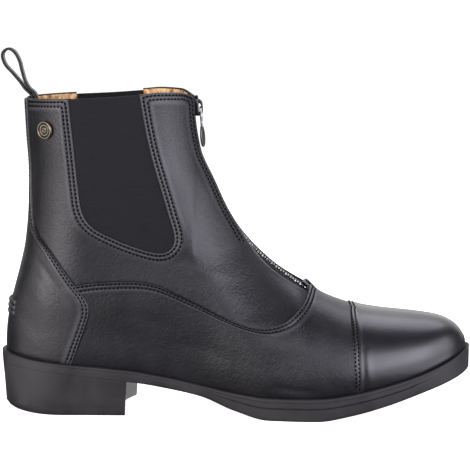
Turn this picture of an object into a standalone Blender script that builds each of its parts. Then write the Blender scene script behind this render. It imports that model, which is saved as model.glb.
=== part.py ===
"""A right ankle boot: leather upper with a front zip and two gores, on a moulded rubber sole.

x runs from the heel to the toe, -y is the outer side of the foot and z is up. The tables are in
millimetres from the back of the heel and the floor, and each solid is moved to the middle of the sole.
"""

from collections import namedtuple
import math

import bmesh
import bpy
import numpy as np

for thing in list(bpy.data.objects):
    bpy.data.objects.remove(thing)

MM = 0.001
SOLE_LENGTH = 282.0
MIDDLE = np.array([SOLE_LENGTH / 2, -0.7, 0.0])
GAP = 0.35
Stretch = namedtuple("Stretch", "start end")

# The sole, a row for each section along the foot: its middle and half width before the ends are
# rounded, the crest of its rim and its underside.
Sole = namedtuple("Sole", "x middle half rim under")
SOLE = [
    Sole(0, 0.0, 32.0, 36.3, 29.5),
    Sole(22, 0.0, 32.0, 32.8, 27.0),
    Sole(50, 0.0, 32.3, 30.0, 23.8),
    Sole(78, -0.3, 33.0, 27.4, 20.6),
    Sole(98, -1.6, 32.7, 24.0, 17.3),
    Sole(120, -3.0, 33.6, 19.4, 12.6),
    Sole(140, -3.5, 37.8, 15.6, 4.8),
    Sole(160, -3.2, 43.2, 13.4, 0.0),
    Sole(188, -1.7, 48.2, 13.6, 0.0),
    Sole(208, 0.2, 48.8, 15.7, 3.0),
    Sole(228, 2.0, 48.8, 19.6, 7.6),
    Sole(250, 3.6, 48.8, 25.3, 13.8),
    Sole(268, 4.4, 48.8, 31.9, 18.8),
    Sole(282, 5.0, 48.8, 38.3, 23.2),
]
HEEL_ROUND = 40.0
TOE_ROUND = 85.0
RIM_HEIGHT = 1.4
RIM_ROUND = 1.0
EDGE_ROUND = 1.6
EDGE_INSET = 0.3
GROOVE_DEPTH = 0.9
GROOVE_TOP, GROOVE_MIDDLE, GROOVE_LOW = 0.62, 0.55, 0.48
GROOVE_GROWS = Stretch(110.0, 160.0)
WAIST_CROWN = 2.6
WAIST_INSET = 17.0
CROWN_GROWS = Stretch(86.0, 112.0)
CROWN_FADES = Stretch(112.0, 150.0)
SOLE_AROUND = 56
INSOLE_INSET = 8.6
INSOLE_THICK = 2.6
INSOLE_AROUND = 36

# The heel under the seat, narrowed from the sole by an inset at each share of its height
BREAST_X = 78.4
BREAST_SLANT = 2.0
BREAST_HOLLOW = 6.0
BREAST_POINTS = 8
HEEL_SIDE_POINTS = 12
HEEL_CROWD = 1.6
Heel = namedtuple("Heel", "inset share")
HEEL = [Heel(2.0, 0.0), Heel(1.2, 0.5), Heel(0.5, 0.85), Heel(0.5, 1.0)]
LIFT_HEIGHT = 4.8
LIFT_EDGE = 0.9
LIFT_INSET, LIFT_EDGE_INSET, LIFT_FOOT_INSET = 2.0, 2.2, 3.2
LIFT_BACK_ROUND, LIFT_EDGE_ROUND = 3.4, 1.2
BACK_BEVEL, BEVEL_LENGTH = 2.4, 34.0

# The upper on its last: the front line from the toe to the collar, the back line, the shaft's half
# widths and the collar's rise from the back to the front.
Front = namedtuple("Front", "x z")
FRONT = [
    Front(277.8, 35.9),
    Front(277.6, 40.4),
    Front(275.6, 45.1),
    Front(270.4, 49.8),
    Front(262.0, 53.3),
    Front(245.0, 55.8),
    Front(228.0, 57.7),
    Front(210.0, 61.2),
    Front(196.0, 66.3),
    Front(180.0, 75.1),
    Front(163.2, 88.1),
    Front(149.7, 101.1),
    Front(137.6, 118.4),
    Front(128.9, 136.9),
    Front(120.4, 155.9),
    Front(117.2, 175.9),
    Front(116.7, 186.7),
]
ABOVE_COLLAR = Front(115.0, 270.0)
Back = namedtuple("Back", "z x")
BACK = [
    Back(30.9, 3.8),
    Back(45.9, 4.3),
    Back(60.9, 6.2),
    Back(72.9, 9.4),
    Back(85.9, 12.9),
    Back(100.9, 16.2),
    Back(120.9, 18.2),
    Back(142.9, 19.0),
    Back(166.9, 17.6),
    Back(186.9, 16.6),
]
Shaft = namedtuple("Shaft", "z half")
SHAFT = [
    Shaft(30.9, 29.5),
    Shaft(55.9, 30.6),
    Shaft(80.9, 30.0),
    Shaft(105.9, 29.4),
    Shaft(130.9, 29.6),
    Shaft(160.9, 30.6),
    Shaft(190.9, 31.4),
]
COLLAR_BACK_Z = 186.3
Collar = namedtuple("Collar", "along rise")
COLLAR = [
    Collar(0.0, 0.0),
    Collar(0.25, 0.8),
    Collar(0.5, 1.8),
    Collar(0.7, 3.2),
    Collar(0.8, 4.0),
    Collar(0.92, 3.6),
    Collar(1.0, 0.0),
]
COLLAR_LEVEL = 0.75
UPPER_INSET = 3.8
WALL = 2.0
TUCK = 0.05
TUCK_HEIGHT = 16.0
SHAFT_GROWS = Stretch(40.0, 100.0)
SHAFT_FADES = Stretch(110.0, 190.0)
BACK_TURNS = Stretch(50.0, 110.0)
ARCH_GROWS = Stretch(120.0, 190.0)
TOP_FORWARD = Stretch(150.0, 215.0)
FOOT_ARCH, SHAFT_ARCH = 2.25, 1.8
SHAFT_ROUND = 40.0
HEEL_BACK_ROUND = 42.0
SHAFT_BACK_ROUND = 35.0
LEVEL_EASE = 1.2
SAG_FADE = 3
AROUND = 36
UP = 18

# Outlines on the side of the boot
Mark = namedtuple("Mark", "x z")
COUNTER_EDGE = [
    Mark(19.2, 122.3),
    Mark(24.2, 106.9),
    Mark(32.8, 96.5),
    Mark(46.2, 77.9),
    Mark(52.6, 69.3),
    Mark(54.6, 62.2),
    Mark(52.7, 54.5),
    Mark(47.0, 38.9),
    Mark(42.0, 24.9),
]
VAMP_EDGE = [
    Mark(40.0, 77.1),
    Mark(61.0, 79.9),
    Mark(87.5, 79.9),
    Mark(108.0, 72.3),
    Mark(131.5, 60.9),
    Mark(146.0, 55.1),
    Mark(157.0, 53.3),
    Mark(169.0, 56.1),
    Mark(178.6, 63.5),
    Mark(183.4, 70.5),
    Mark(183.2, 74.3),
    Mark(179.6, 78.7),
    Mark(175.0, 83.9),
]
CAP_EDGE = [
    Mark(207.0, 80.9),
    Mark(207.8, 62.9),
    Mark(208.9, 44.2),
    Mark(210.8, 5.9),
]
GORE_EDGE = [
    Mark(42.8, 204.9),
    Mark(43.4, 187.4),
    Mark(46.3, 157.3),
    Mark(48.6, 133.9),
    Mark(50.9, 120.3),
    Mark(57.0, 111.9),
    Mark(68.9, 105.5),
    Mark(81.0, 100.6),
    Mark(94.5, 97.0),
    Mark(102.0, 98.9),
    Mark(104.7, 106.0),
    Mark(100.5, 122.0),
    Mark(90.6, 157.2),
    Mark(84.6, 189.8),
    Mark(82.7, 204.9),
]
Stay = namedtuple("Stay", "z half")
BACKSTAY = [
    Stay(92.9, 22.0),
    Stay(106.9, 18.5),
    Stay(118.9, 12.0),
    Stay(130.9, 8.6),
    Stay(145.9, 7.6),
    Stay(166.9, 9.0),
    Stay(200.9, 11.5),
]
STAY_ROWS = 24
STAY_FRONT = 45.0
LEATHER = 1.2
CAP_LEATHER = 1.5
GORE_SINK = 0.7
GORE_THICK = 1.3
GORE_REACH = 4.0
SIDE_REACH = 90.0
BEYOND_TOE = 300.0
BEHIND = -20.0
RIM_CLEAR = 1.0
RIM_POINTS = 16
SPUR_HALF = 13.0
SPUR_LOW, SPUR_HIGH = 57.4, 66.9
SPUR_THICK = 1.5

# The zip, its slider and pull
ZIP_END_X = 180.5
ZIP_ROWS = 25
ZIP_OVER = 12.0
SLOT_HALF_TOP, SLOT_HALF_FOOT = 6.0, 9.5
SLOT_DEPTH = 9.0
TAPE_SINK = 0.95
TAPE_THICK = 1.0
TAPE_END, CHAIN_END = 0.985, 0.965
CHAIN_HALF = 2.8
CHAIN_OUT, CHAIN_IN = 0.25, -0.6
SLIDER_Z = 180.4
SLIDER_LONG, SLIDER_WIDE, SLIDER_THICK = 10.0, 7.6, 1.1
SLIDER_TAPER, SLIDER_SHOULDER, SLIDER_CROWN, SLIDER_EDGE = 0.62, 0.15, 0.88, 0.4
EYE_LONG, EYE_TALL, EYE_THICK = 3.6, 2.5, 1.5
EYE_ROOT, EYE_SHOULDER = 0.5, 0.6
EYE_HOLE, EYE_WALL = 0.9, 0.5
EYE_SIDES = 12
PULL_LONG, PULL_WIDE, PULL_NECK, PULL_THICK = 23.7, 6.6, 4.4, 1.0
PULL_FLARE = Stretch(8.4, 11.4)
PULL_BAR = 1.0
PULL_WINDOW, PULL_WINDOW_HALF = 7.4, 1.3
PULL_LEAN = 4.0
PULL_END_POINTS = 6

# The loop behind the collar and the stud
LOOP_WIDE = 10.0
LOOP_THICK = 1.4
LOOP = [
    Mark(22.7, 175.0),
    Mark(22.1, 187.4),
    Mark(18.0, 192.2),
    Mark(15.6, 196.6),
    Mark(13.8, 203.0),
    Mark(12.6, 207.9),
    Mark(9.9, 213.1),
    Mark(6.4, 215.3),
    Mark(3.4, 213.9),
    Mark(2.5, 210.7),
    Mark(4.2, 205.9),
    Mark(8.6, 200.9),
    Mark(12.8, 195.9),
    Mark(15.8, 191.7),
    Mark(19.5, 187.9),
    Mark(20.4, 183.9),
    Mark(20.9, 175.0),
]
STUD = Mark(29.8, 168.7)
Ring = namedtuple("Ring", "radius height")
STUD_RINGS = [
    Ring(4.5, 0.0),
    Ring(5.0, 0.5),
    Ring(5.0, 1.3),
    Ring(4.3, 1.8),
    Ring(3.5, 1.5),
    Ring(1.4, 1.9),
]
STUD_SIDES = 20

# Colours and surfaces
Finish = namedtuple("Finish", "red green blue roughness metallic")
RUBBER = Finish(0.045, 0.043, 0.046, 0.62, 0.0)
BLACK_LEATHER = Finish(0.030, 0.029, 0.033, 0.36, 0.0)
TAN_LEATHER = Finish(0.55, 0.33, 0.14, 0.5, 0.0)
ELASTIC = Finish(0.018, 0.018, 0.021, 0.8, 0.0)
WEBBING = Finish(0.020, 0.020, 0.022, 0.75, 0.0)
DARK_PLATE = Finish(0.22, 0.21, 0.20, 0.3, 1.0)
OLD_BRASS = Finish(0.36, 0.31, 0.23, 0.35, 1.0)
FINISHES = {
    "outsole": RUBBER,
    "heel_block": RUBBER,
    "heel_top_lift": RUBBER,
    "insole": TAN_LEATHER,
    "upper": BLACK_LEATHER,
    "gore_outer": ELASTIC,
    "gore_inner": ELASTIC,
    "vamp": BLACK_LEATHER,
    "toe_cap": BLACK_LEATHER,
    "heel_counter": BLACK_LEATHER,
    "spur_rest": BLACK_LEATHER,
    "zip_tape": WEBBING,
    "zip_chain": DARK_PLATE,
    "zip_slider": DARK_PLATE,
    "zip_pull": DARK_PLATE,
    "pull_loop": BLACK_LEATHER,
    "stud": OLD_BRASS,
}
SHARP_ANGLE = math.radians(40)


def smooth_curve(places, values):
    """A curve through a table's rows that never swings past them."""
    places = np.asarray(places, float)
    values = np.asarray(values, float)
    step = np.diff(places)
    slope = np.diff(values) / step
    tangent = np.zeros_like(places)
    tangent[0], tangent[-1] = slope[0], slope[-1]
    for i in range(1, len(places) - 1):
        if slope[i - 1] * slope[i] > 0:
            tangent[i] = 2 * slope[i - 1] * slope[i] / (slope[i - 1] + slope[i])

    def value(place):
        place = np.clip(place, places[0], places[-1])
        i = np.clip(np.searchsorted(places, place) - 1, 0, len(step) - 1)
        t = (place - places[i]) / step[i]
        rise = (1 + 2 * t) * (1 - t) ** 2 * values[i] + t * t * (3 - 2 * t) * values[i + 1]
        return rise + step[i] * (t * (1 - t) ** 2 * tangent[i] + t * t * (t - 1) * tangent[i + 1])

    return value


def ease(stretch, value):
    """From 0 to 1 over a stretch, level at both ends."""
    t = np.clip((value - stretch.start) / (stretch.end - stretch.start), 0, 1)
    return t * t * (3 - 2 * t)


def mix(a, b, t):
    return a + (b - a) * t


def round_end(t):
    return np.sqrt(np.clip(1 - (1 - np.clip(t, 0, 1)) ** 2, 0, 1))


# The sole's shape
sole_x = [row.x for row in SOLE]
sole_middle = smooth_curve(sole_x, [row.middle for row in SOLE])
sole_body = smooth_curve(sole_x, [row.half for row in SOLE])
sole_rim = smooth_curve(sole_x, [row.rim for row in SOLE])
sole_under = smooth_curve(sole_x, [row.under for row in SOLE])


def sole_seat(x):
    return sole_rim(x) - RIM_HEIGHT


def toe_round(x, inset):
    return round_end((SOLE_LENGTH - inset - x) / (TOE_ROUND - inset))


def sole_half(x, inset):
    return (sole_body(x) - inset) * toe_round(x, inset) * round_end((x - inset) / (HEEL_ROUND - inset))


# The upper's shape: half widths of the foot and the shaft, closed over the front line and round the back
FINE_STEPS = 900
TINY = 1e-9
front_steps = np.append(0, np.cumsum([math.dist(a, b) for a, b in zip(FRONT, FRONT[1:])]))
front_length = front_steps[-1]
front_line_x = smooth_curve(front_steps, [row.x for row in FRONT])
front_line_z = smooth_curve(front_steps, [row.z for row in FRONT])
back_line = smooth_curve([row.z for row in BACK], [row.x for row in BACK])
collar_rise = smooth_curve([row.along for row in COLLAR], [row.rise for row in COLLAR])
shaft_half = smooth_curve([row.z for row in SHAFT], [row.half for row in SHAFT])
fine_steps = np.linspace(0, front_length, FINE_STEPS)
fine_front_x = np.append(front_line_x(fine_steps), ABOVE_COLLAR.x)
fine_front_z = np.append(front_line_z(fine_steps), ABOVE_COLLAR.z)


def top_at(x):
    return np.interp(x, fine_front_x[::-1], fine_front_z[::-1])


def front_at(z):
    return np.interp(z, fine_front_z, fine_front_x)


def feather(x):
    """Where the upper's wall stands on the sole."""
    return sole_seat(x) + GAP


def upper_middle(x, z):
    return sole_middle(x) * (1 - ease(BACK_TURNS, z))


def upper_half(x, z):
    """Half the upper's width at a place on its side view."""
    foot = (sole_body(x) - UPPER_INSET) * toe_round(x, UPPER_INSET)
    wide = mix(foot, shaft_half(z), ease(SHAFT_GROWS, z) * (1 - ease(SHAFT_FADES, x)))
    wide = wide * (1 - TUCK * (1 - np.clip((z - feather(x)) / TUCK_HEIGHT, 0, 1)) ** 2)
    forward = ease(TOP_FORWARD, x)
    above = np.maximum(top_at(x) - z, 0)
    ahead = np.maximum(front_at(z) - x, 0) / np.maximum(1 - forward, TINY)
    distance = above * ahead / np.maximum(np.hypot(above, ahead), TINY)
    arch = mix(SHAFT_ROUND, np.maximum(top_at(x) - feather(x), 1), ease(ARCH_GROWS, x))
    fullness = mix(SHAFT_ARCH, FOOT_ARCH, forward)
    closing = np.clip(1 - (1 - np.clip(distance / arch, 0, 1)) ** fullness, 0, 1) ** (1 / fullness)
    back_round = mix(HEEL_BACK_ROUND, SHAFT_BACK_ROUND, ease(BACK_TURNS, z))
    return wide * closing * round_end((x - back_line(z)) / back_round)


def upper_surface(turn, level):
    """A place on the upper: turn goes round from the front, level climbs from the sole to the collar."""
    step = front_length * level ** LEVEL_EASE
    front_x, front_z = front_line_x(step), front_line_z(step)
    foot_back = feather(back_line(BACK[0].z))
    back_z = mix(foot_back, COLLAR_BACK_Z, level)
    back_x = back_line(back_z)
    along = (1 + np.cos(turn)) / 2
    x = mix(back_x, front_x, along)
    heel_x, toe_x = back_line(foot_back), FRONT[0].x
    dip = feather(mix(heel_x, toe_x, along)) - mix(foot_back, feather(toe_x), along)
    rise = feather(toe_x) - FRONT[0].z
    z = mix(back_z, front_z + rise * (1 - level) ** SAG_FADE, along) + dip * (1 - level) ** SAG_FADE
    z = z + collar_rise(along) * ease(Stretch(COLLAR_LEVEL, 1), level)
    side = np.where(np.sin(turn) > 0, -1.0, 1.0)
    return np.stack([x, upper_middle(x, z) + side * upper_half(x, z), z], axis=-1)


TURN_NUDGE = 0.02
LEVEL_NUDGE = 0.004


def upper_grid(out):
    """The upper's surface moved outward, as levels of points."""
    turn, level = np.meshgrid(np.arange(AROUND) * 2 * math.pi / AROUND, np.linspace(0, 1, UP + 1))
    low, high = np.clip(level - LEVEL_NUDGE, 0, 1), np.clip(level + LEVEL_NUDGE, 0, 1)
    across = upper_surface(turn + TURN_NUDGE, level) - upper_surface(turn - TURN_NUDGE, level)
    upward = upper_surface(turn, high) - upper_surface(turn, low)
    normal = np.cross(upward, across)
    normal /= np.linalg.norm(normal, axis=-1, keepdims=True)
    return upper_surface(turn, level) + out * normal


def add_object(name, points, faces, origin=MIDDLE):
    """A mesh object from points in millimetres, its origin at one of them or in the middle of the sole."""
    mesh = bpy.data.meshes.new(name)
    mesh.from_pydata([(np.array(point) - origin) * MM for point in points], [], faces)
    build = bmesh.new()
    build.from_mesh(mesh)
    bmesh.ops.recalc_face_normals(build, faces=build.faces)
    build.to_mesh(mesh)
    build.free()
    item = bpy.data.objects.new(name, mesh)
    item.location = (origin - MIDDLE) * MM
    bpy.context.scene.collection.objects.link(item)
    return item


def ring_faces(first, second, count):
    """Triangles between two closed loops of points."""
    faces = []
    for i in range(count):
        j = (i + 1) % count
        faces.append((first + i, first + j, second + j))
        faces.append((first + i, second + j, second + i))
    return faces


def loft(name, loops, origin=MIDDLE):
    """A solid through loops of points, flat at both ends."""
    count = len(loops[0])
    points = [tuple(point) for loop in loops for point in loop]
    faces = []
    for i in range(len(loops) - 1):
        faces += ring_faces(i * count, (i + 1) * count, count)
    last = (len(loops) - 1) * count
    faces.append(tuple(reversed(range(count))))
    faces.append(tuple(range(last, last + count)))
    return add_object(name, points, faces, origin)


def shell(name, inner, outer):
    """The upper's form between two distances from its surface: a sleeve, open above and below."""
    points = np.concatenate([upper_grid(inner).reshape(-1, 3), upper_grid(outer).reshape(-1, 3)])
    outside = (UP + 1) * AROUND
    top = UP * AROUND
    faces = ring_faces(0, outside, AROUND) + ring_faces(top, outside + top, AROUND)
    for level in range(UP):
        low, high = level * AROUND, (level + 1) * AROUND
        faces += ring_faces(low, high, AROUND) + ring_faces(outside + low, outside + high, AROUND)
    return add_object(name, points, faces)


def cut(item, operation, tool):
    """Join, cut or keep what a tool solid covers; the tool itself is only a guide."""
    tool.hide_render = True
    tool.display_type = "WIRE"
    step = item.modifiers.new(operation.lower(), "BOOLEAN")
    step.operation = operation
    step.solver = "EXACT"
    step.object = tool


def spline(marks, parts=3):
    """A smooth line through the marks of an outline."""
    marks = np.array(marks, float)
    ends = np.vstack([2 * marks[0] - marks[1], marks, 2 * marks[-1] - marks[-2]])
    line = []
    for i in range(1, len(ends) - 2):
        a, b, c, d = ends[i - 1:i + 3]
        for k in range(parts):
            t = k / parts
            bend = (2 * a - 5 * b + 4 * c - d) * t ** 2 + (3 * b - a - 3 * c + d) * t ** 3
            line.append((2 * b + (c - a) * t + bend) / 2)
    return line + [marks[-1]]


def widen(line, distance):
    """A line moved sideways, to its left for a positive distance."""
    line = np.array(line)
    ahead = np.gradient(line, axis=0)
    ahead /= np.linalg.norm(ahead, axis=1, keepdims=True)
    return list(line + distance * np.stack([-ahead[:, 1], ahead[:, 0]], axis=1))


def side_prism(name, outline, near=-SIDE_REACH, far=SIDE_REACH):
    """An outline of the side view carried across the boot."""
    return loft(name, [[(x, near, z) for x, z in outline], [(x, far, z) for x, z in outline]])


def clear_of_rim(line):
    """The part of an outline's line that is above the sole's rim."""
    return [mark for mark in line if mark[1] > sole_rim(mark[0]) + RIM_CLEAR]


def above_rim(first, last):
    """The line just over the sole's rim, from one place along the foot to another."""
    return [(x, sole_rim(x) + GAP) for x in np.linspace(first, last, RIM_POINTS)]


def sole_loop(inset, height, count):
    """A loop round the sole's outline, its height a function of the place along the foot."""
    loop = []
    for i in range(count):
        turn = i * 2 * math.pi / count
        x = mix(inset, SOLE_LENGTH - inset, (1 + math.cos(turn)) / 2)
        side = 0 if i in (0, count // 2) else (-1 if i < count // 2 else 1)
        loop.append((x, float(sole_middle(x) + side * sole_half(x, inset)), float(height(x))))
    return loop


def strip_solid(name, loops):
    """A solid through loops, its ends closed by strips from side to side."""
    count = len(loops[0])
    points = [point for loop in loops for point in loop]
    faces = []
    for i in range(len(loops) - 1):
        faces += ring_faces(i * count, (i + 1) * count, count)
    last = (len(loops) - 1) * count
    for i in range(count // 2):
        outer, inner = (i, i + 1), ((count - i - 1) % count, (count - i) % count)
        strip = list(dict.fromkeys(outer + inner))
        faces.append(tuple(reversed(strip)))
        faces.append(tuple(last + k for k in strip))
    add_object(name, points, faces)


# Outsole: a moulded rubber unit with a rim round the upper's foot
def side_height(share):
    def height(x):
        return mix(sole_under(x) + EDGE_ROUND, sole_seat(x), share)
    return height


def waist_under(x):
    """The underside, hollowed at the waist."""
    return sole_under(x) - WAIST_CROWN * ease(CROWN_GROWS, x) * (1 - ease(CROWN_FADES, x))


def groove_loop():
    """The bottom of the groove along the side, deeper towards the forefoot."""
    side = np.array(sole_loop(0, side_height(GROOVE_MIDDLE), SOLE_AROUND))
    deep = np.array(sole_loop(GROOVE_DEPTH, side_height(GROOVE_MIDDLE), SOLE_AROUND))
    return [tuple(mix(a, b, ease(GROOVE_GROWS, a[0]))) for a, b in zip(side, deep)]


strip_solid("outsole", [
    sole_loop(WAIST_INSET, waist_under, SOLE_AROUND),
    sole_loop(EDGE_INSET + EDGE_ROUND, sole_under, SOLE_AROUND),
    sole_loop(EDGE_INSET, side_height(0), SOLE_AROUND),
    sole_loop(0, side_height(GROOVE_LOW), SOLE_AROUND),
    groove_loop(),
    sole_loop(0, side_height(GROOVE_TOP), SOLE_AROUND),
    sole_loop(0, side_height(1), SOLE_AROUND),
    sole_loop(RIM_ROUND, sole_rim, SOLE_AROUND),
    sole_loop(UPPER_INSET - 2 * GAP, sole_rim, SOLE_AROUND),
    sole_loop(UPPER_INSET - GAP, sole_seat, SOLE_AROUND),
])


# Heel block and top lift, hollowed at the breast
def heel_loop(inset, height, back_shift=0.0):
    """A loop round the heel: along the breast, then round the back."""
    loop = []
    corner = sole_half(BREAST_X, inset)
    for i in range(BREAST_POINTS):
        y = mix(corner, -corner, i / BREAST_POINTS)
        share = y / corner
        loop.append((BREAST_X - inset / 2 + BREAST_SLANT * share - BREAST_HOLLOW * (1 - share ** 2), y))
    for i in range(2 * HEEL_SIDE_POINTS):
        turn = i * math.pi / (2 * HEEL_SIDE_POINTS)
        side = -1 if i < HEEL_SIDE_POINTS else 1
        end = BREAST_X - inset / 2 + BREAST_SLANT * side
        x = mix(inset, end, abs(math.cos(turn)) ** HEEL_CROWD)
        loop.append((x, 0.0 if i == HEEL_SIDE_POINTS else side * float(sole_half(x, inset))))
    pushed = [(x + back_shift * max(0, 1 - x / HEEL_ROUND) ** 2, y) for x, y in loop]
    return [(x, y, float(height(x))) for x, y in pushed]


def heel_height(share):
    def height(x):
        return mix(LIFT_HEIGHT + GAP, sole_under(x) - GAP, share)
    return height


def lift_under(x):
    """The wearing face: level, and eased up at the back."""
    return BACK_BEVEL * max(0, 1 - x / BEVEL_LENGTH) ** 2


loft("heel_block", [heel_loop(row.inset, heel_height(row.share)) for row in HEEL])
loft("heel_top_lift", [
    heel_loop(LIFT_FOOT_INSET, lift_under, LIFT_BACK_ROUND),
    heel_loop(LIFT_EDGE_INSET, lambda x: lift_under(x) + LIFT_EDGE, LIFT_EDGE_ROUND),
    heel_loop(LIFT_INSET, lambda x: LIFT_HEIGHT),
])


# Insole board on the seat
strip_solid("insole", [
    sole_loop(INSOLE_INSET, lambda x: sole_seat(x) + GAP, INSOLE_AROUND),
    sole_loop(INSOLE_INSET, lambda x: sole_seat(x) + GAP + INSOLE_THICK, INSOLE_AROUND),
])


# Zip line: places down the front, with the way out from the boot
STEP_NUDGE = 1.5
zip_shares = np.linspace(0, 1, ZIP_ROWS)
zip_foot_step = np.interp(-ZIP_END_X, -fine_front_x[:-1], fine_steps)


def zip_frame(share):
    """A place on the zip's line from the collar down, the way out and the way up."""
    step = mix(front_length, zip_foot_step, share)
    place = np.array([front_line_x(step), 0.0, front_line_z(step)])
    place[1] = upper_middle(place[0], place[2])
    later, sooner = min(step + STEP_NUDGE, front_length), step - STEP_NUDGE
    up = np.array([front_line_x(later) - front_line_x(sooner), 0, front_line_z(later) - front_line_z(sooner)])
    up /= np.linalg.norm(up)
    return place, np.array([up[2], 0.0, -up[0]]), up


def zip_strip(name, half, inner, outer, shares, over=0.0):
    """A strip along the zip's line, its half width a function of the share of the way down."""
    loops = []
    for share in shares:
        place, out, up = zip_frame(share)
        if share == shares[0]:
            place = place + over * up
        wide = np.array([0, half(share), 0])
        corners = [(-1, inner), (-1, outer), (1, outer), (1, inner)]
        loops.append([place + side * wide + depth * out for side, depth in corners])
    return loft(name, loops[::-1])


def slot_half(share):
    return mix(SLOT_HALF_TOP, SLOT_HALF_FOOT, share)


# Upper: one leather wall with a window for each gore and a slot for the zip
gore_line = spline(GORE_EDGE)
upper = shell("upper", -WALL, 0.0)
cut(upper, "DIFFERENCE", side_prism("gore_window", gore_line))
cut(upper, "DIFFERENCE", zip_strip("zip_slot", slot_half, -SLOT_DEPTH, SLOT_DEPTH, zip_shares, ZIP_OVER))

# Gores: ribbed elastic, set behind the edge of each window
gore_outline = widen(gore_line, GAP)
for side, near, far in (("outer", -SIDE_REACH, -GORE_REACH), ("inner", GORE_REACH, SIDE_REACH)):
    gore = shell("gore_" + side, -GORE_SINK - GORE_THICK, -GORE_SINK)
    cut(gore, "INTERSECT", side_prism("gore_outline_" + side, gore_outline, near, far))

# Vamp: leather over the lower front and sides, peaked over the foot of the zip
VAMP_BACK_TOP = 75.0
cap_line = spline(CAP_EDGE)
counter_line = spline(COUNTER_EDGE)
vamp_back = clear_of_rim([mark for mark in widen(counter_line, GAP) if mark[1] < VAMP_BACK_TOP])
vamp_top = [mark for mark in spline(VAMP_EDGE) if mark[0] > vamp_back[0][0]]
vamp_front = clear_of_rim(widen(cap_line, -GAP))
vamp_outline = vamp_top + vamp_front + above_rim(vamp_front[-1][0], vamp_back[-1][0]) + vamp_back[::-1]
vamp = shell("vamp", GAP, GAP + LEATHER)
cut(vamp, "INTERSECT", side_prism("vamp_outline", vamp_outline))

# Toe cap: leather over the toe, its back edge against the vamp
cap_back = clear_of_rim(cap_line)
cap_outline = cap_back + above_rim(cap_back[-1][0], SOLE_LENGTH) + [
    (BEYOND_TOE, sole_rim(SOLE_LENGTH)), (BEYOND_TOE, CAP_EDGE[0].z)]
toe_cap = shell("toe_cap", GAP, GAP + CAP_LEATHER)
cut(toe_cap, "INTERSECT", side_prism("toe_cap_outline", cap_outline))

# Heel counter: leather round the heel, drawn up the back as a stay
counter_front = clear_of_rim(counter_line)
counter_outline = counter_front + above_rim(counter_front[-1][0], 0.0) + [
    (BEHIND, sole_rim(0.0)), (BEHIND, COUNTER_EDGE[0].z)]
counter_tool = side_prism("counter_outline", counter_outline)
stay_half = smooth_curve([row.z for row in BACKSTAY], [row.half for row in BACKSTAY])
stay_loops = []
for z in np.linspace(BACKSTAY[0].z, BACKSTAY[-1].z, STAY_ROWS):
    half = float(stay_half(z))
    behind = BEHIND - 2 * GAP
    stay_loops.append([(behind, half, z), (behind, -half, z), (STAY_FRONT, -half, z), (STAY_FRONT, half, z)])
cut(counter_tool, "UNION", loft("stay_outline", stay_loops))
counter = shell("heel_counter", GAP, GAP + LEATHER)
cut(counter, "INTERSECT", counter_tool)

# Spur rest: a ledge on the heel
spur_inner = 2 * GAP + LEATHER
spur_corners = [(-SPUR_HALF, SPUR_LOW), (SPUR_HALF, SPUR_LOW), (SPUR_HALF, SPUR_HIGH), (-SPUR_HALF, SPUR_HIGH)]
spur = shell("spur_rest", spur_inner, spur_inner + SPUR_THICK)
cut(spur, "INTERSECT", loft("spur_outline", [[(x, y, z) for y, z in spur_corners] for x in (STAY_FRONT, BEHIND)]))


# Zip: tape behind the leather and the chain of teeth on it
zip_strip("zip_tape", lambda share: slot_half(share) - GAP, -TAPE_SINK - TAPE_THICK, -TAPE_SINK,
          zip_shares * TAPE_END)
zip_strip("zip_chain", lambda share: CHAIN_HALF, CHAIN_IN, CHAIN_OUT, zip_shares * CHAIN_END)


# Slider: a wedge on the chain with an eye for the pull
slider_step = np.interp(SLIDER_Z, fine_front_z[:-1], fine_steps)
slider_place, slider_out, slider_up = zip_frame((front_length - slider_step) / (front_length - zip_foot_step))


def at_slider(out, y, up):
    return tuple(slider_place + out * slider_out + up * slider_up + np.array([0, y, 0]))


slider_foot = CHAIN_OUT + GAP
slider_top = slider_foot + SLIDER_THICK
slider_plan = [
    (-SLIDER_TAPER * SLIDER_WIDE / 2, -SLIDER_LONG / 2),
    (SLIDER_TAPER * SLIDER_WIDE / 2, -SLIDER_LONG / 2),
    (SLIDER_WIDE / 2, SLIDER_SHOULDER * SLIDER_LONG),
    (SLIDER_WIDE / 2, SLIDER_LONG / 2),
    (-SLIDER_WIDE / 2, SLIDER_LONG / 2),
    (-SLIDER_WIDE / 2, SLIDER_SHOULDER * SLIDER_LONG),
]
slider = loft("zip_slider", [
    [at_slider(slider_foot, y, up) for y, up in slider_plan],
    [at_slider(slider_top - SLIDER_EDGE, y, up) for y, up in slider_plan],
    [at_slider(slider_top, SLIDER_CROWN * y, SLIDER_CROWN * up) for y, up in slider_plan],
])
eye_plan = [
    (slider_top - EYE_ROOT, -EYE_LONG / 2),
    (slider_top + EYE_SHOULDER * EYE_TALL, -EYE_LONG / 2),
    (slider_top + EYE_TALL, -EYE_LONG / 4),
    (slider_top + EYE_TALL, EYE_LONG / 4),
    (slider_top + EYE_SHOULDER * EYE_TALL, EYE_LONG / 2),
    (slider_top - EYE_ROOT, EYE_LONG / 2),
]
cut(slider, "UNION", loft("slider_eye", [
    [at_slider(out, y, up) for out, up in eye_plan] for y in (EYE_THICK / 2, -EYE_THICK / 2)]))
hinge_out = slider_top + EYE_TALL - EYE_HOLE - EYE_WALL
hole_turns = np.arange(EYE_SIDES) * 2 * math.pi / EYE_SIDES
cut(slider, "DIFFERENCE", loft("eye_hole", [
    [at_slider(hinge_out + EYE_HOLE * math.cos(turn), y, EYE_HOLE * math.sin(turn)) for turn in hole_turns]
    for y in (EYE_THICK, -EYE_THICK)]))


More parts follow.
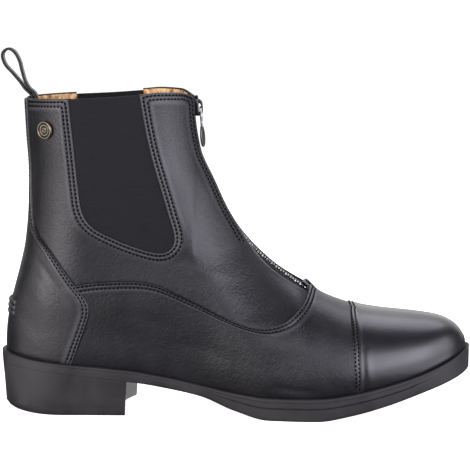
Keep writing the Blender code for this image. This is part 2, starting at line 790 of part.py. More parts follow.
# Pull: a flat tab hung in the slider's eye, its origin on the hinge
hinge = np.array(at_slider(hinge_out, 0, 0))
lean = math.radians(PULL_LEAN)
pull_down = np.array([math.sin(lean), 0, -math.cos(lean)])
pull_out = np.array([math.cos(lean), 0, math.sin(lean)])


def pull_plate(name, plan, thick):
    """A plate of the pull from its plan of widths down from the hinge."""
    loops = []
    for out in (thick / 2, -thick / 2):
        loops.append([hinge + pull_down * down + pull_out * out + np.array([0, y, 0]) for down, y in plan])
    return loft(name, loops, hinge)


pull_side = [(-PULL_BAR / 2, PULL_NECK / 2), (PULL_FLARE.start, PULL_NECK / 2), (PULL_FLARE.end, PULL_WIDE / 2)]
for k in range(PULL_END_POINTS):
    turn = k * math.pi / (2 * PULL_END_POINTS)
    pull_side.append((PULL_LONG - PULL_WIDE / 2 * (1 - math.sin(turn)), PULL_WIDE / 2 * math.cos(turn)))
pull_plan = pull_side + [(PULL_LONG, 0.0)] + [(down, -half) for down, half in pull_side[::-1]]
pull = pull_plate("zip_pull", pull_plan, PULL_THICK)
window_plan = [(PULL_BAR / 2, PULL_WINDOW_HALF), (PULL_WINDOW, PULL_WINDOW_HALF),
               (PULL_WINDOW, -PULL_WINDOW_HALF), (PULL_BAR / 2, -PULL_WINDOW_HALF)]
cut(pull, "DIFFERENCE", pull_plate("pull_window", window_plan, 2 * PULL_THICK))


# Pull loop: a strap from inside the collar's back, out over it and round
loop_line = spline(LOOP)
loop_loops = []
for a, b in zip(widen(loop_line, LOOP_THICK / 2), widen(loop_line, -LOOP_THICK / 2)):
    corners = [(a, -LOOP_WIDE / 2), (b, -LOOP_WIDE / 2), (b, LOOP_WIDE / 2), (a, LOOP_WIDE / 2)]
    loop_loops.append([(mark[0], y, mark[1]) for mark, y in corners])
loft("pull_loop", loop_loops)


# Stud: a turned metal button, square to the leather
SLOPE_NUDGE = 0.5
stud_place = np.array([STUD.x, upper_middle(*STUD) - upper_half(*STUD), STUD.z])
slope_x = upper_half(STUD.x + SLOPE_NUDGE, STUD.z) - upper_half(STUD.x - SLOPE_NUDGE, STUD.z)
slope_z = upper_half(STUD.x, STUD.z + SLOPE_NUDGE) - upper_half(STUD.x, STUD.z - SLOPE_NUDGE)
stud_out = np.array([-slope_x, -2 * SLOPE_NUDGE, -slope_z])
stud_out /= np.linalg.norm(stud_out)
stud_up = np.cross(stud_out, np.array([1.0, 0, 0]))
stud_up /= np.linalg.norm(stud_up)
stud_across = np.cross(stud_up, stud_out)
stud_loops = []
for ring in STUD_RINGS:
    loop = []
    for turn in np.arange(STUD_SIDES) * 2 * math.pi / STUD_SIDES:
        spoke = math.cos(turn) * stud_across + math.sin(turn) * stud_up
        loop.append(stud_place + ring.radius * spoke + (GAP + ring.height) * stud_out)
    stud_loops.append(loop)
loft("stud", stud_loops)


# Materials, shading and the empty that carries the boot
boot = bpy.data.objects.new("boot", None)
bpy.context.scene.collection.objects.link(boot)
for name, finish in FINISHES.items():
    item = bpy.data.objects[name]
    item.parent = boot
    item.data.shade_smooth()
    item.data.set_sharp_from_angle(angle=SHARP_ANGLE)
    material = bpy.data.materials.new(name)
    material.use_nodes = True
    shader = material.node_tree.nodes["Principled BSDF"]
    shader.inputs["Base Color"].default_value = (finish.red, finish.green, finish.blue, 1.0)
    shader.inputs["Roughness"].default_value = finish.roughness
    shader.inputs["Metallic"].default_value = finish.metallic
    item.data.materials.append(material)
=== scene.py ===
import math
from collections import namedtuple

import bmesh
import bpy
import numpy as np
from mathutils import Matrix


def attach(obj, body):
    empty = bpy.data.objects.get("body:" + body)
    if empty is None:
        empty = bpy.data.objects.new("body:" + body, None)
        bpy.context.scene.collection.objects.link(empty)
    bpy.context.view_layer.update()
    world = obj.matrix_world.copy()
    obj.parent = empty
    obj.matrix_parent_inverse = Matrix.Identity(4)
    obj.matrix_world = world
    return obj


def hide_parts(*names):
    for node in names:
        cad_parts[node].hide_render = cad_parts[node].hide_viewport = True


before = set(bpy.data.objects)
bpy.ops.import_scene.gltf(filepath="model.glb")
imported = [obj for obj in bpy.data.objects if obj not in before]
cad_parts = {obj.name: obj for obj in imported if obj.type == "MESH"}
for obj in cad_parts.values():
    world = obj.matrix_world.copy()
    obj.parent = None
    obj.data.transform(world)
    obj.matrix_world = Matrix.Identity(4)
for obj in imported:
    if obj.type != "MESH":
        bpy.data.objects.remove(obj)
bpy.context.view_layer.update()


# Outsole: one moulded black rubber unit under the whole foot, from the heel seat to the toe.
# It leaves its mould with a rounded rim that hugs the upper, a groove along the forefoot and a
# ribbed tread, and is cemented to the upper. Sizes are in millimetres from the heel's back end.
MM = 0.001
SOLE_LENGTH = 282.0
MIDDLE = np.array([SOLE_LENGTH / 2, -0.7, 0.0])
Sole = namedtuple("Sole", "x middle half rim under")
SOLE = [
    Sole(0, 0.0, 32.0, 36.3, 29.5),
    Sole(22, 0.0, 32.0, 32.8, 27.0),
    Sole(50, 0.0, 32.3, 30.0, 23.8),
    Sole(78, -0.3, 33.0, 27.4, 20.6),
    Sole(98, -1.6, 32.7, 24.0, 17.3),
    Sole(120, -3.0, 33.6, 19.4, 12.6),
    Sole(140, -3.5, 37.8, 15.6, 4.8),
    Sole(160, -3.2, 43.2, 13.4, 0.0),
    Sole(188, -1.7, 48.2, 13.6, 0.0),
    Sole(208, 0.2, 48.8, 15.7, 3.0),
    Sole(228, 2.0, 48.8, 19.6, 7.6),
    Sole(250, 3.6, 48.8, 25.3, 13.8),
    Sole(268, 4.4, 48.8, 31.9, 18.8),
    Sole(282, 5.0, 48.8, 38.3, 23.2),
]
HEEL_ROUND = 40.0
TOE_ROUND = 85.0
RIM_HEIGHT, TOE_RIM_HEIGHT = 1.4, 0.65
EDGE_ROUND, HEEL_EDGE_ROUND = 1.6, 0.25
GROOVE_DEPTH = 0.7
WAIST_CROWN = 2.6
SEAT_INSET = 3.45
TOE_FALL = (225, 276)
HEEL_FRONT = (76, 92)
WAIST_START, WAIST_END = (86, 112), (112, 150)
GROOVE_START, GROOVE_END = (110, 160), (236, 262)


def smooth_curve(places, values):
    """A curve through a table's rows that never swings past them."""
    places = np.asarray(places, float)
    values = np.asarray(values, float)
    step = np.diff(places)
    slope = np.diff(values) / step
    tangent = np.zeros_like(places)
    tangent[0], tangent[-1] = slope[0], slope[-1]
    for i in range(1, len(places) - 1):
        if slope[i - 1] * slope[i] > 0:
            tangent[i] = 2 * slope[i - 1] * slope[i] / (slope[i - 1] + slope[i])

    def value(place):
        place = np.clip(place, places[0], places[-1])
        i = np.clip(np.searchsorted(places, place) - 1, 0, len(step) - 1)
        t = (place - places[i]) / step[i]
        rise = (1 + 2 * t) * (1 - t) ** 2 * values[i] + t * t * (3 - 2 * t) * values[i + 1]
        return rise + step[i] * (t * (1 - t) ** 2 * tangent[i] + t * t * (t - 1) * tangent[i + 1])

    return value


def ease(start, end, value):
    t = np.clip((value - start) / (end - start), 0, 1)
    return t * t * (3 - 2 * t)


def mix(a, b, t):
    return a + (b - a) * t


def round_end(t):
    return np.sqrt(np.clip(1 - (1 - np.clip(t, 0, 1)) ** 2, 0, 1))


sole_x = [row.x for row in SOLE]
sole_middle = smooth_curve(sole_x, [row.middle for row in SOLE])
sole_body = smooth_curve(sole_x, [row.half for row in SOLE])
sole_rim = smooth_curve(sole_x, [row.rim for row in SOLE])
sole_under = smooth_curve(sole_x, [row.under for row in SOLE])


def sole_seat(x):
    return sole_rim(x) - RIM_HEIGHT


def rim_crest(x):
    """How far the rim stands above the seat, less round the toe."""
    return mix(RIM_HEIGHT, TOE_RIM_HEIGHT, ease(*TOE_FALL, x))


def toe_round(x, inset):
    return round_end((SOLE_LENGTH - inset - x) / (TOE_ROUND - inset))


def sole_half(x, inset):
    return (sole_body(x) - inset) * toe_round(x, inset) * round_end((x - inset) / (HEEL_ROUND - inset))


def turns_round(count):
    return np.arange(count) * 2 * math.pi / count


def sole_loop(inset, height, count):
    """A loop round the sole's outline; inset and height may change along the foot."""
    share = (1 + np.cos(turns_round(count))) / 2
    reach = inset(SOLE_LENGTH * share) if callable(inset) else inset
    x = mix(reach, SOLE_LENGTH - reach, share)
    side = np.where(np.arange(count) < count // 2, -1.0, 1.0)
    side[[0, count // 2]] = 0.0
    return np.stack([x, sole_middle(x) + side * sole_half(x, reach), height(x)], axis=1)


def grid_quads(rows, columns, start=0, wrap=False):
    """Quads between the points of a grid that is laid row by row."""
    last = columns if wrap else columns - 1
    row, column = np.meshgrid(np.arange(rows - 1), np.arange(last), indexing="ij")
    here = start + row * columns + column
    beside = start + row * columns + (column + 1) % columns
    return np.stack([here, beside, beside + columns, here + columns], axis=-1).reshape(-1, 4)


JOIN_WITHIN, LEAST_EDGE = 2e-6, 1e-6


def add_piece(name, points, faces, materials, choice=None, sharp=40, marks=None, welded=True):
    """A piece from points in millimetres, its doubled points joined and its faces turned outward."""
    mesh = bpy.data.meshes.new(name)
    faces = faces.tolist() if isinstance(faces, np.ndarray) else faces
    mesh.from_pydata((np.asarray(points, float) - MIDDLE) * MM, [], faces)
    for material in materials:
        mesh.materials.append(material)
    if choice is not None:
        mesh.polygons.foreach_set("material_index", np.asarray(choice, np.int32))
    for mark, values in (marks or {}).items():
        mesh.attributes.new(mark, "FLOAT", "POINT").data.foreach_set("value", np.asarray(values, np.float32))
    build = bmesh.new()
    build.from_mesh(mesh)
    if welded:
        bmesh.ops.remove_doubles(build, verts=build.verts, dist=JOIN_WITHIN)
        bmesh.ops.dissolve_degenerate(build, edges=build.edges, dist=LEAST_EDGE)
    bmesh.ops.recalc_face_normals(build, faces=build.faces)
    build.to_mesh(mesh)
    build.free()
    mesh.shade_smooth()
    mesh.set_sharp_from_angle(angle=math.radians(sharp))
    piece = bpy.data.objects.new(name, mesh)
    bpy.context.scene.collection.objects.link(piece)
    return piece


def new_material(name, colour, **values):
    """A material and its shader, with the constant values set on the shader's own sockets."""
    material = bpy.data.materials.new(name)
    material.use_nodes = True
    shader = material.node_tree.nodes["Principled BSDF"]
    shader.inputs["Base Color"].default_value = (*colour, 1.0)
    for socket, value in values.items():
        shader.inputs[socket.replace("_", " ")].default_value = value
    return material, shader


def add_node(tree, kind, values=None, **settings):
    node = tree.nodes.new(kind)
    for name, value in settings.items():
        setattr(node, name, value)
    for socket, value in (values or {}).items():
        node.inputs[socket].default_value = value
    return node


def new_group(name, inputs, outputs):
    """A shader node group with number sockets."""
    group = bpy.data.node_groups.new(name, "ShaderNodeTree")
    for socket, value in inputs.items():
        made = group.interface.new_socket(socket, in_out="INPUT", socket_type="NodeSocketFloat")
        made.default_value = value
    for socket in outputs:
        group.interface.new_socket(socket, in_out="OUTPUT", socket_type="NodeSocketFloat")
    return group, group.nodes.new("NodeGroupInput"), group.nodes.new("NodeGroupOutput")


def noise_group():
    """Uneven tone: broad patches and a fine speckle, both from 0 to 1."""
    group, given, out = new_group("uneven_tone", {"Patch scale": 40.0, "Speckle scale": 900.0},
                                  ["Patches", "Speckle"])
    place = add_node(group, "ShaderNodeTexCoord")
    for scale, result, detail in (("Patch scale", "Patches", 3.0), ("Speckle scale", "Speckle", 4.0)):
        noise = add_node(group, "ShaderNodeTexNoise", {"Detail": detail, "Roughness": 0.55})
        group.links.new(place.outputs["Object"], noise.inputs["Vector"])
        group.links.new(given.outputs[scale], noise.inputs["Scale"])
        group.links.new(noise.outputs["Fac"], out.inputs[result])
    return group


uneven_tone = noise_group()


def place_group(material, group, **values):
    node = add_node(material.node_tree, "ShaderNodeGroup", node_tree=group)
    for socket, value in values.items():
        node.inputs[socket.replace("_", " ")].default_value = value
    return node


def blend_colours(material, mask, first, second, low=0.0, high=1.0):
    """A colour between two, following a mask."""
    tree = material.node_tree
    spread = add_node(tree, "ShaderNodeMapRange", {"From Min": low, "From Max": high})
    tree.links.new(mask, spread.inputs["Value"])
    blend = add_node(tree, "ShaderNodeMix", data_type="RGBA")
    tree.links.new(spread.outputs["Result"], blend.inputs["Factor"])
    for socket, colour in ((6, first), (7, second)):
        if isinstance(colour, tuple):
            blend.inputs[socket].default_value = (*colour, 1.0)
        else:
            tree.links.new(colour, blend.inputs[socket])
    return blend.outputs[2]


def blend_values(material, mask, first, second, low=0.0, high=1.0):
    tree = material.node_tree
    spread = add_node(tree, "ShaderNodeMapRange",
                      {"From Min": low, "From Max": high, "To Min": first, "To Max": second})
    tree.links.new(mask, spread.inputs["Value"])
    return spread.outputs["Result"]


def feed(shader, socket, output):
    shader.id_data.links.new(output, shader.inputs[socket])


def add_bump(material, shader, height, distance, strength=1.0, under=None):
    """Fine relief on a shader, on top of another bump where one is given."""
    tree = material.node_tree
    bump = add_node(tree, "ShaderNodeBump", {"Strength": strength, "Distance": distance})
    tree.links.new(height, bump.inputs["Height"])
    if under is not None:
        tree.links.new(under, bump.inputs["Normal"])
    tree.links.new(bump.outputs["Normal"], shader.inputs["Normal"])
    return bump.outputs["Normal"]


RUBBER_DARK = (0.0095, 0.0085, 0.0095)
RUBBER_DUSTY = (0.0190, 0.0170, 0.0186)
BREAST_PAINTED_LIGHT_GREY = (0.26, 0.25, 0.25)
rubber, rubber_shader = new_material("sole_rubber", RUBBER_DARK, Roughness=0.6)
rubber_tone = place_group(rubber, uneven_tone, Patch_scale=55.0, Speckle_scale=1400.0)
# The heel breast's faces are painted pale grey: painted light standing in for the light they catch from the
# side.
breast_painted_light = add_node(rubber.node_tree, "ShaderNodeAttribute", attribute_name="fold")
rubber_colour = blend_colours(rubber, rubber_tone.outputs["Patches"], RUBBER_DARK, RUBBER_DUSTY, 0.35, 0.7)
rubber_colour = blend_colours(rubber, breast_painted_light.outputs["Fac"], rubber_colour, BREAST_PAINTED_LIGHT_GREY)
feed(rubber_shader, "Base Color", rubber_colour)
feed(rubber_shader, "Roughness", blend_values(rubber, rubber_tone.outputs["Patches"], 0.52, 0.68, 0.3, 0.7))
add_bump(rubber, rubber_shader, rubber_tone.outputs["Speckle"], 0.00012, 0.5)


def edge_round(x):
    """The round of the lower edge, nearly square where the heel is moulded on."""
    return mix(HEEL_EDGE_ROUND, EDGE_ROUND, ease(*HEEL_FRONT, x))


def side_height(share):
    """Heights at a share of the sole's side wall."""
    def height(x):
        return mix(sole_under(x) + edge_round(x), sole_seat(x), share)
    return height


def waist_under(x):
    """The underside, hollowed at the waist."""
    return sole_under(x) - WAIST_CROWN * ease(*WAIST_START, x) * (1 - ease(*WAIST_END, x))


def groove_inset(share):
    """Depths at a share of the groove, which runs out at the waist and before the toe."""
    def inset(x):
        return GROOVE_DEPTH * share * ease(*GROOVE_START, x) * (1 - ease(*GROOVE_END, x))
    return inset


SOLE_AROUND = 320
Side = namedtuple("Side", "share inset")
SOLE_SIDE = [Side(0.15, 0.08), Side(0.3, 0.04), Side(0.46, 0.0)]
GROOVE_SIDE = [Side(0.525, 0.0), Side(0.545, 0.3), Side(0.56, 0.85), Side(0.575, 1.0), Side(0.59, 0.85),
               Side(0.605, 0.3), Side(0.625, 0.0)]
RIM_SIDE = [Side(0.7, 0.0), Side(0.8, 0.03), Side(0.87, 0.08), Side(0.92, 0.04), Side(0.96, -0.06)]
ROLL = np.arange(6) * math.pi / 10
WALL_INSET = 0.1
RIM_ROLL, RIM_BACK, RIM_FALL = 1.2, 2.7, 0.1


def low_edge(turn):
    """A loop on the rounded lower edge."""
    return sole_loop(
        lambda x: WALL_INSET + edge_round(x) * (1 - math.sin(turn)),
        lambda x: sole_under(x) + edge_round(x) * (1 - math.cos(turn)), SOLE_AROUND)


def rim_edge(turn):
    """A loop on the rounded rim."""
    return sole_loop(
        RIM_ROLL * (1 - math.cos(turn)) - WALL_INSET,
        lambda x: sole_seat(x) + rim_crest(x) * math.sin(turn), SOLE_AROUND)


sole_rows = [low_edge(turn) for turn in ROLL]
sole_rows += [sole_loop(row.inset, side_height(row.share), SOLE_AROUND) for row in SOLE_SIDE]
sole_rows += [sole_loop(groove_inset(row.inset), side_height(row.share), SOLE_AROUND) for row in GROOVE_SIDE]
sole_rows += [sole_loop(row.inset, side_height(row.share), SOLE_AROUND) for row in RIM_SIDE]
sole_rows += [rim_edge(turn) for turn in ROLL]
sole_rows.append(sole_loop(RIM_BACK, lambda x: sole_seat(x) + rim_crest(x) - RIM_FALL, SOLE_AROUND))
sole_rows.append(sole_loop(SEAT_INSET, sole_seat, SOLE_AROUND))
TREAD_PITCH = 5.2
TREAD_DEPTH = 0.9
TREAD_ACROSS = 24
TREAD_BOW, TREAD_FLANK = 0.5, 0.3
TREAD_START, TREAD_END, TREAD_SIDE = (152, 158), (258, 266), (0.84, 0.9)


def tread(x, share):
    """Depth of the cross ribs under the forefoot, faded at its ends and sides."""
    wave = np.cos(x * 2 * math.pi / TREAD_PITCH + TREAD_BOW * np.abs(share))
    inside = ease(*TREAD_START, x) * (1 - ease(*TREAD_END, x)) * (1 - ease(*TREAD_SIDE, np.abs(share)))
    return TREAD_DEPTH * ease(-TREAD_FLANK, TREAD_FLANK, wave) * inside


def strip_fill(loop, height=None):
    """A grid across a loop of the sole, from its outer side to its inner side."""
    half = len(loop) // 2
    near = loop[:half + 1]
    far = loop[(-np.arange(half + 1)) % len(loop)]
    share = np.linspace(0, 1, TREAD_ACROSS + 1)[None, :, None]
    grid = mix(near[:, None, :], far[:, None, :], share)
    if height is not None:
        across = 2 * share[..., 0] - 1
        grid[..., 2] = height(grid[..., 0], across, grid[..., 2])
    return grid


def sole_under_fill(x, across, z):
    hollow = (1 - across ** 2) ** 2
    return mix(z, z + waist_under(x) - sole_under(x), hollow) + tread(x, across)


def closed_by_fills(rows, low_fill, high_fill):
    """Points and quads of a solid through loops, closed under and over by grids."""
    count = len(rows[0])
    points = [np.concatenate(rows)]
    quads = [grid_quads(len(rows), count, wrap=True)]
    for fill in (low_fill, high_fill):
        start = sum(len(part) for part in points)
        points.append(fill.reshape(-1, 3))
        quads.append(grid_quads(*fill.shape[:2], start=start))
    return np.concatenate(points), np.concatenate(quads)


outsole = add_piece("sole_unit", *closed_by_fills(
    sole_rows, strip_fill(sole_rows[0], sole_under_fill), strip_fill(sole_rows[-1])), [rubber])
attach(outsole, "boot")
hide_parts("outsole")


# Heel block and top lift: the block is moulded with the unit's rubber and hollowed at the breast,
# and the lift is a harder wearing piece nailed and cemented under it, bevelled at the back.
BREAST_X = 78.4
BREAST_SLANT = 2.0
BREAST_HOLLOW = 6.0
LIFT_HEIGHT = 4.8
LIFT_SPRING, LIFT_SPRING_LONG = 2.4, 34
LIFT_GAP, SEAT_GAP = 0.04, 0.03
BREAST_POINTS = 40
HEEL_SIDE_POINTS = 60
HEEL_CROWD = 1.6


def heel_loop(inset, height, back_shift=0.0):
    """A loop round the heel: along the breast, then round the back."""
    corner = sole_half(BREAST_X, inset)
    y = mix(corner, -corner, np.arange(BREAST_POINTS) / BREAST_POINTS)
    share = y / corner
    breast_x = BREAST_X - inset / 2 + BREAST_SLANT * share - BREAST_HOLLOW * (1 - share ** 2)
    breast = np.stack([breast_x, y], axis=1)
    turn = np.arange(2 * HEEL_SIDE_POINTS) * math.pi / (2 * HEEL_SIDE_POINTS)
    side = np.where(np.arange(2 * HEEL_SIDE_POINTS) < HEEL_SIDE_POINTS, -1.0, 1.0)
    x = mix(inset, BREAST_X - inset / 2 + BREAST_SLANT * side, np.abs(np.cos(turn)) ** HEEL_CROWD)
    back = np.stack([x, side * sole_half(x, inset)], axis=1)
    loop = np.concatenate([breast, back])
    loop[:, 0] += back_shift * np.maximum(0, 1 - loop[:, 0] / HEEL_ROUND) ** 2
    return np.column_stack([loop, height(loop[:, 0]) + 0 * loop[:, 0]])


def heel_height(share):
    """Heights at a share of the block, from the lift to the seat."""
    def height(x):
        return mix(LIFT_HEIGHT + LIFT_GAP, sole_under(x) - SEAT_GAP, share)
    return height


def lift_under(x):
    """The wearing face: level, and eased up at the back."""
    return LIFT_SPRING * np.maximum(0, 1 - x / LIFT_SPRING_LONG) ** 2


def loft(rows):
    """Points and faces of a solid through loops, flat at both ends."""
    count = len(rows[0])
    quads = grid_quads(len(rows), count, wrap=True).tolist()
    last = (len(rows) - 1) * count
    return np.concatenate(rows), quads + [list(range(count))[::-1], list(range(last, last + count))]


def add_lofted(name, rows, material, sharp=35, marks=None):
    """A lofted piece whose ends are single faces."""
    return add_piece(name, *loft(rows), [material], sharp=sharp, marks=marks, welded=False)


HEEL_SIDE = [Side(0.0, 2.0), Side(0.25, 1.6), Side(0.5, 1.2), Side(0.75, 0.7), Side(0.9, 0.35),
             Side(0.985, 0.2), Side(1.0, 0.2)]
heel_rows = [heel_loop(row.inset, heel_height(row.share)) for row in HEEL_SIDE]
lift_rows = [
    heel_loop(3.2, lift_under, 3.4),
    heel_loop(2.6, lambda x: lift_under(x) + 0.3, 2.4),
    heel_loop(2.25, lambda x: lift_under(x) + 0.9, 1.4),
    heel_loop(2.05, lambda x: mix(lift_under(x) + 0.9, LIFT_HEIGHT, 0.6), 0.5),
    heel_loop(2.0, lambda x: LIFT_HEIGHT - 0.12),
    heel_loop(2.1, lambda x: LIFT_HEIGHT),
]
column = np.arange(BREAST_POINTS + 2 * HEEL_SIDE_POINTS)
on_breast = (column > 0) & (column < BREAST_POINTS)
for name, rows, node in (("heel_body", heel_rows, "heel_block"), ("heel_lift", lift_rows, "heel_top_lift")):
    # The fold mark on the breast's faces paints them pale grey as painted light.
    piece = add_lofted(name, rows, rubber, marks={"fold": np.tile(on_breast, len(rows))})
    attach(piece, "boot")
    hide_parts(node)


# Insole: a tan leather sock on a board that lies on the sole inside the boot.
# It is cut to the foot's outline and laid in loose, and shows through the collar.
INSOLE_INSET = 8.6
INSOLE_THICK = 2.6
INSOLE_AROUND = 160
BOARD_RISE = 0.35
TAN_LIGHT = (0.94, 0.60, 0.25)
TAN_DARK = (0.30, 0.125, 0.03)
tan, tan_shader = new_material("tan_lining", TAN_LIGHT, Roughness=0.62)
tan_tone = place_group(tan, uneven_tone, Patch_scale=70.0, Speckle_scale=360.0)
tan_colour = blend_colours(tan, tan_tone.outputs["Speckle"], TAN_DARK, TAN_LIGHT, 0.36, 0.6)
feed(tan_shader, "Base Color", tan_colour)
add_bump(tan, tan_shader, tan_tone.outputs["Speckle"], 0.0004, 0.7)


def insole_loop(inset, rise):
    return sole_loop(inset, lambda x: sole_seat(x) + BOARD_RISE + rise, INSOLE_AROUND)


insole_rows = [
    insole_loop(INSOLE_INSET + 0.5, 0.0),
    insole_loop(INSOLE_INSET, 0.5),
    insole_loop(INSOLE_INSET, INSOLE_THICK - 0.6),
    insole_loop(INSOLE_INSET + 0.3, INSOLE_THICK - 0.1),
    insole_loop(INSOLE_INSET + 1.0, INSOLE_THICK),
]
insole = add_piece("sock", *closed_by_fills(
    insole_rows, strip_fill(insole_rows[0]), strip_fill(insole_rows[-1])), [tan])
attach(insole, "boot")
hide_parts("insole")


# Upper: two quarters of smooth black calf, sewn together at the back and lined with tan leather.
# Each is cut with a window for its gore and a folded edge down the front for the zip, closed over
# the last and cemented under the foot. The collar's edge is turned in and sewn with two rows.
Front = namedtuple("Front", "x z")
FRONT = [
    Front(277.8, 35.9),
    Front(277.6, 40.4),
    Front(275.6, 45.1),
    Front(270.4, 49.8),
    Front(262.0, 53.3),
    Front(245.0, 55.8),
    Front(228.0, 57.7),
    Front(210.0, 61.2),
    Front(196.0, 66.3),
    Front(180.0, 75.1),
    Front(163.2, 88.1),
    Front(149.7, 101.1),
    Front(137.6, 118.4),
    Front(128.9, 136.9),
    Front(120.4, 155.9),
    Front(117.2, 175.9),
    Front(116.7, 186.7),
]
ABOVE_COLLAR = Front(115.0, 270.0)
Back = namedtuple("Back", "z x")
BACK = [
    Back(30.9, 3.8),
    Back(45.9, 4.3),
    Back(60.9, 6.2),
    Back(72.9, 9.4),
    Back(85.9, 12.9),
    Back(100.9, 16.2),
    Back(120.9, 18.2),
    Back(142.9, 19.0),
    Back(166.9, 17.6),
    Back(186.9, 16.6),
]
Shaft = namedtuple("Shaft", "z half")
SHAFT = [
    Shaft(30.9, 29.5),
    Shaft(55.9, 30.6),
    Shaft(80.9, 30.0),
    Shaft(105.9, 29.4),
    Shaft(130.9, 29.6),
    Shaft(160.9, 30.6),
    Shaft(190.9, 31.4),
]
Collar = namedtuple("Collar", "along rise")
COLLAR = [
    Collar(0.0, 0.0),
    Collar(0.25, 0.8),
    Collar(0.5, 1.8),
    Collar(0.7, 3.2),
    Collar(0.8, 4.0),
    Collar(0.92, 3.6),
    Collar(1.0, 0.0),
]
COLLAR_BACK_Z = 186.3
COLLAR_LEVEL = 0.75
UPPER_INSET = 3.8
WALL = 2.0
TUCK = 0.05
TUCK_HEIGHT = 16.0
FOOT_ARCH, SHAFT_ARCH = 2.25, 1.8
SHAFT_ROUND = 40.0
HEEL_BACK_ROUND, SHAFT_BACK_ROUND = 42.0, 35.0
ANKLE_FULL, ANKLE_Z, ANKLE_TALL = 1.0, 68.0, 18.0
ANKLE_START, ANKLE_END = (30, 70), (120, 170)
SHAFT_START_Z, SHAFT_END_X = (40, 100), (110, 190)
ARCH_START, FORWARD_START = (120, 190), (150, 215)
ROUND_Z, STRAIGHT_Z = (50, 110), (50, 110)
LEVEL_EASE = 1.2
SAG_FADE = 3
TINY = 1e-9

front_steps = np.append(0, np.cumsum([math.dist(a, b) for a, b in zip(FRONT, FRONT[1:])]))
front_length = front_steps[-1]
front_line_x = smooth_curve(front_steps, [row.x for row in FRONT])
front_line_z = smooth_curve(front_steps, [row.z for row in FRONT])
back_line = smooth_curve([row.z for row in BACK], [row.x for row in BACK])
collar_rise = smooth_curve([row.along for row in COLLAR], [row.rise for row in COLLAR])
shaft_half = smooth_curve([row.z for row in SHAFT], [row.half for row in SHAFT])
fine_steps = np.linspace(0, front_length, 900)
fine_front_x = np.append(front_line_x(fine_steps), ABOVE_COLLAR.x)
fine_front_z = np.append(front_line_z(fine_steps), ABOVE_COLLAR.z)


def top_at(x):
    return np.interp(x, fine_front_x[::-1], fine_front_z[::-1])


def front_at(z):
    return np.interp(z, fine_front_z, fine_front_x)


def feather(x):
    """Where the upper stands on the sole."""
    return sole_seat(x) + BOARD_RISE


def upper_middle(x, z):
    return sole_middle(x) * (1 - ease(*STRAIGHT_Z, z))


def upper_half(x, z):
    """Half the upper's width at a place on its side view."""
    foot = (sole_body(x) - UPPER_INSET) * toe_round(x, UPPER_INSET)
    wide = mix(foot, shaft_half(z), ease(*SHAFT_START_Z, z) * (1 - ease(*SHAFT_END_X, x)))
    wide = wide * (1 - TUCK * (1 - np.clip((z - feather(x)) / TUCK_HEIGHT, 0, 1)) ** 2)
    along_ankle = ease(*ANKLE_START, x) * (1 - ease(*ANKLE_END, x))
    wide = wide + ANKLE_FULL * along_ankle * np.exp(-((z - ANKLE_Z) / ANKLE_TALL) ** 2)
    forward = ease(*FORWARD_START, x)
    above = np.maximum(top_at(x) - z, 0)
    ahead = np.maximum(front_at(z) - x, 0) / np.maximum(1 - forward, TINY)
    distance = above * ahead / np.maximum(np.hypot(above, ahead), TINY)
    arch = mix(SHAFT_ROUND, np.maximum(top_at(x) - feather(x), 1), ease(*ARCH_START, x))
    fullness = mix(SHAFT_ARCH, FOOT_ARCH, forward)
    closing = np.clip(1 - (1 - np.clip(distance / arch, 0, 1)) ** fullness, 0, 1) ** (1 / fullness)
    back_round = mix(HEEL_BACK_ROUND, SHAFT_BACK_ROUND, ease(*ROUND_Z, z))
    return wide * closing * round_end((x - back_line(z)) / back_round)


def side_place(along, level):
    """A place on the side view: along from the back to the front, level from the sole to the collar."""
    step = front_length * level ** LEVEL_EASE
    foot_back = feather(back_line(BACK[0].z))
    back_z = mix(foot_back, COLLAR_BACK_Z, level)
    x = mix(back_line(back_z), front_line_x(step), along)
    heel_x, toe_x = back_line(foot_back), FRONT[0].x
    dip = feather(mix(heel_x, toe_x, along)) - mix(foot_back, feather(toe_x), along)
    rise = feather(toe_x) - FRONT[0].z
    fade = (1 - level) ** SAG_FADE
    z = mix(back_z, front_line_z(step) + rise * fade, along) + dip * fade
    return x, z + collar_rise(along) * ease(COLLAR_LEVEL, 1, level)


def upper_surface(turn, level):
    """A place on the upper: turn is 0 at the front, half a turn at the back, above 0 on the outer side."""
    x, z = side_place((1 + np.cos(turn)) / 2, level)
    side = np.where(np.sin(turn) > 0, -1.0, 1.0)
    return np.stack([x, upper_middle(x, z) + side * upper_half(x, z), z], axis=-1)


def unit(ways):
    return ways / np.linalg.norm(ways, axis=-1, keepdims=True)


LEVEL_STEP, TURN_STEP = 0.004, 0.02


def upper_point(turn, level, out):
    """A place at a distance from the upper's surface."""
    low, high = np.clip(level - LEVEL_STEP, 0, 1), np.clip(level + LEVEL_STEP, 0, 1)
    across = upper_surface(turn + TURN_STEP, level) - upper_surface(turn - TURN_STEP, level)
    normal = unit(np.cross(upper_surface(turn, high) - upper_surface(turn, low), across))
    return upper_surface(turn, level) + np.asarray(out)[..., None] * normal


SEARCH_STEPS, SEARCH_ROUNDS = 51, 12


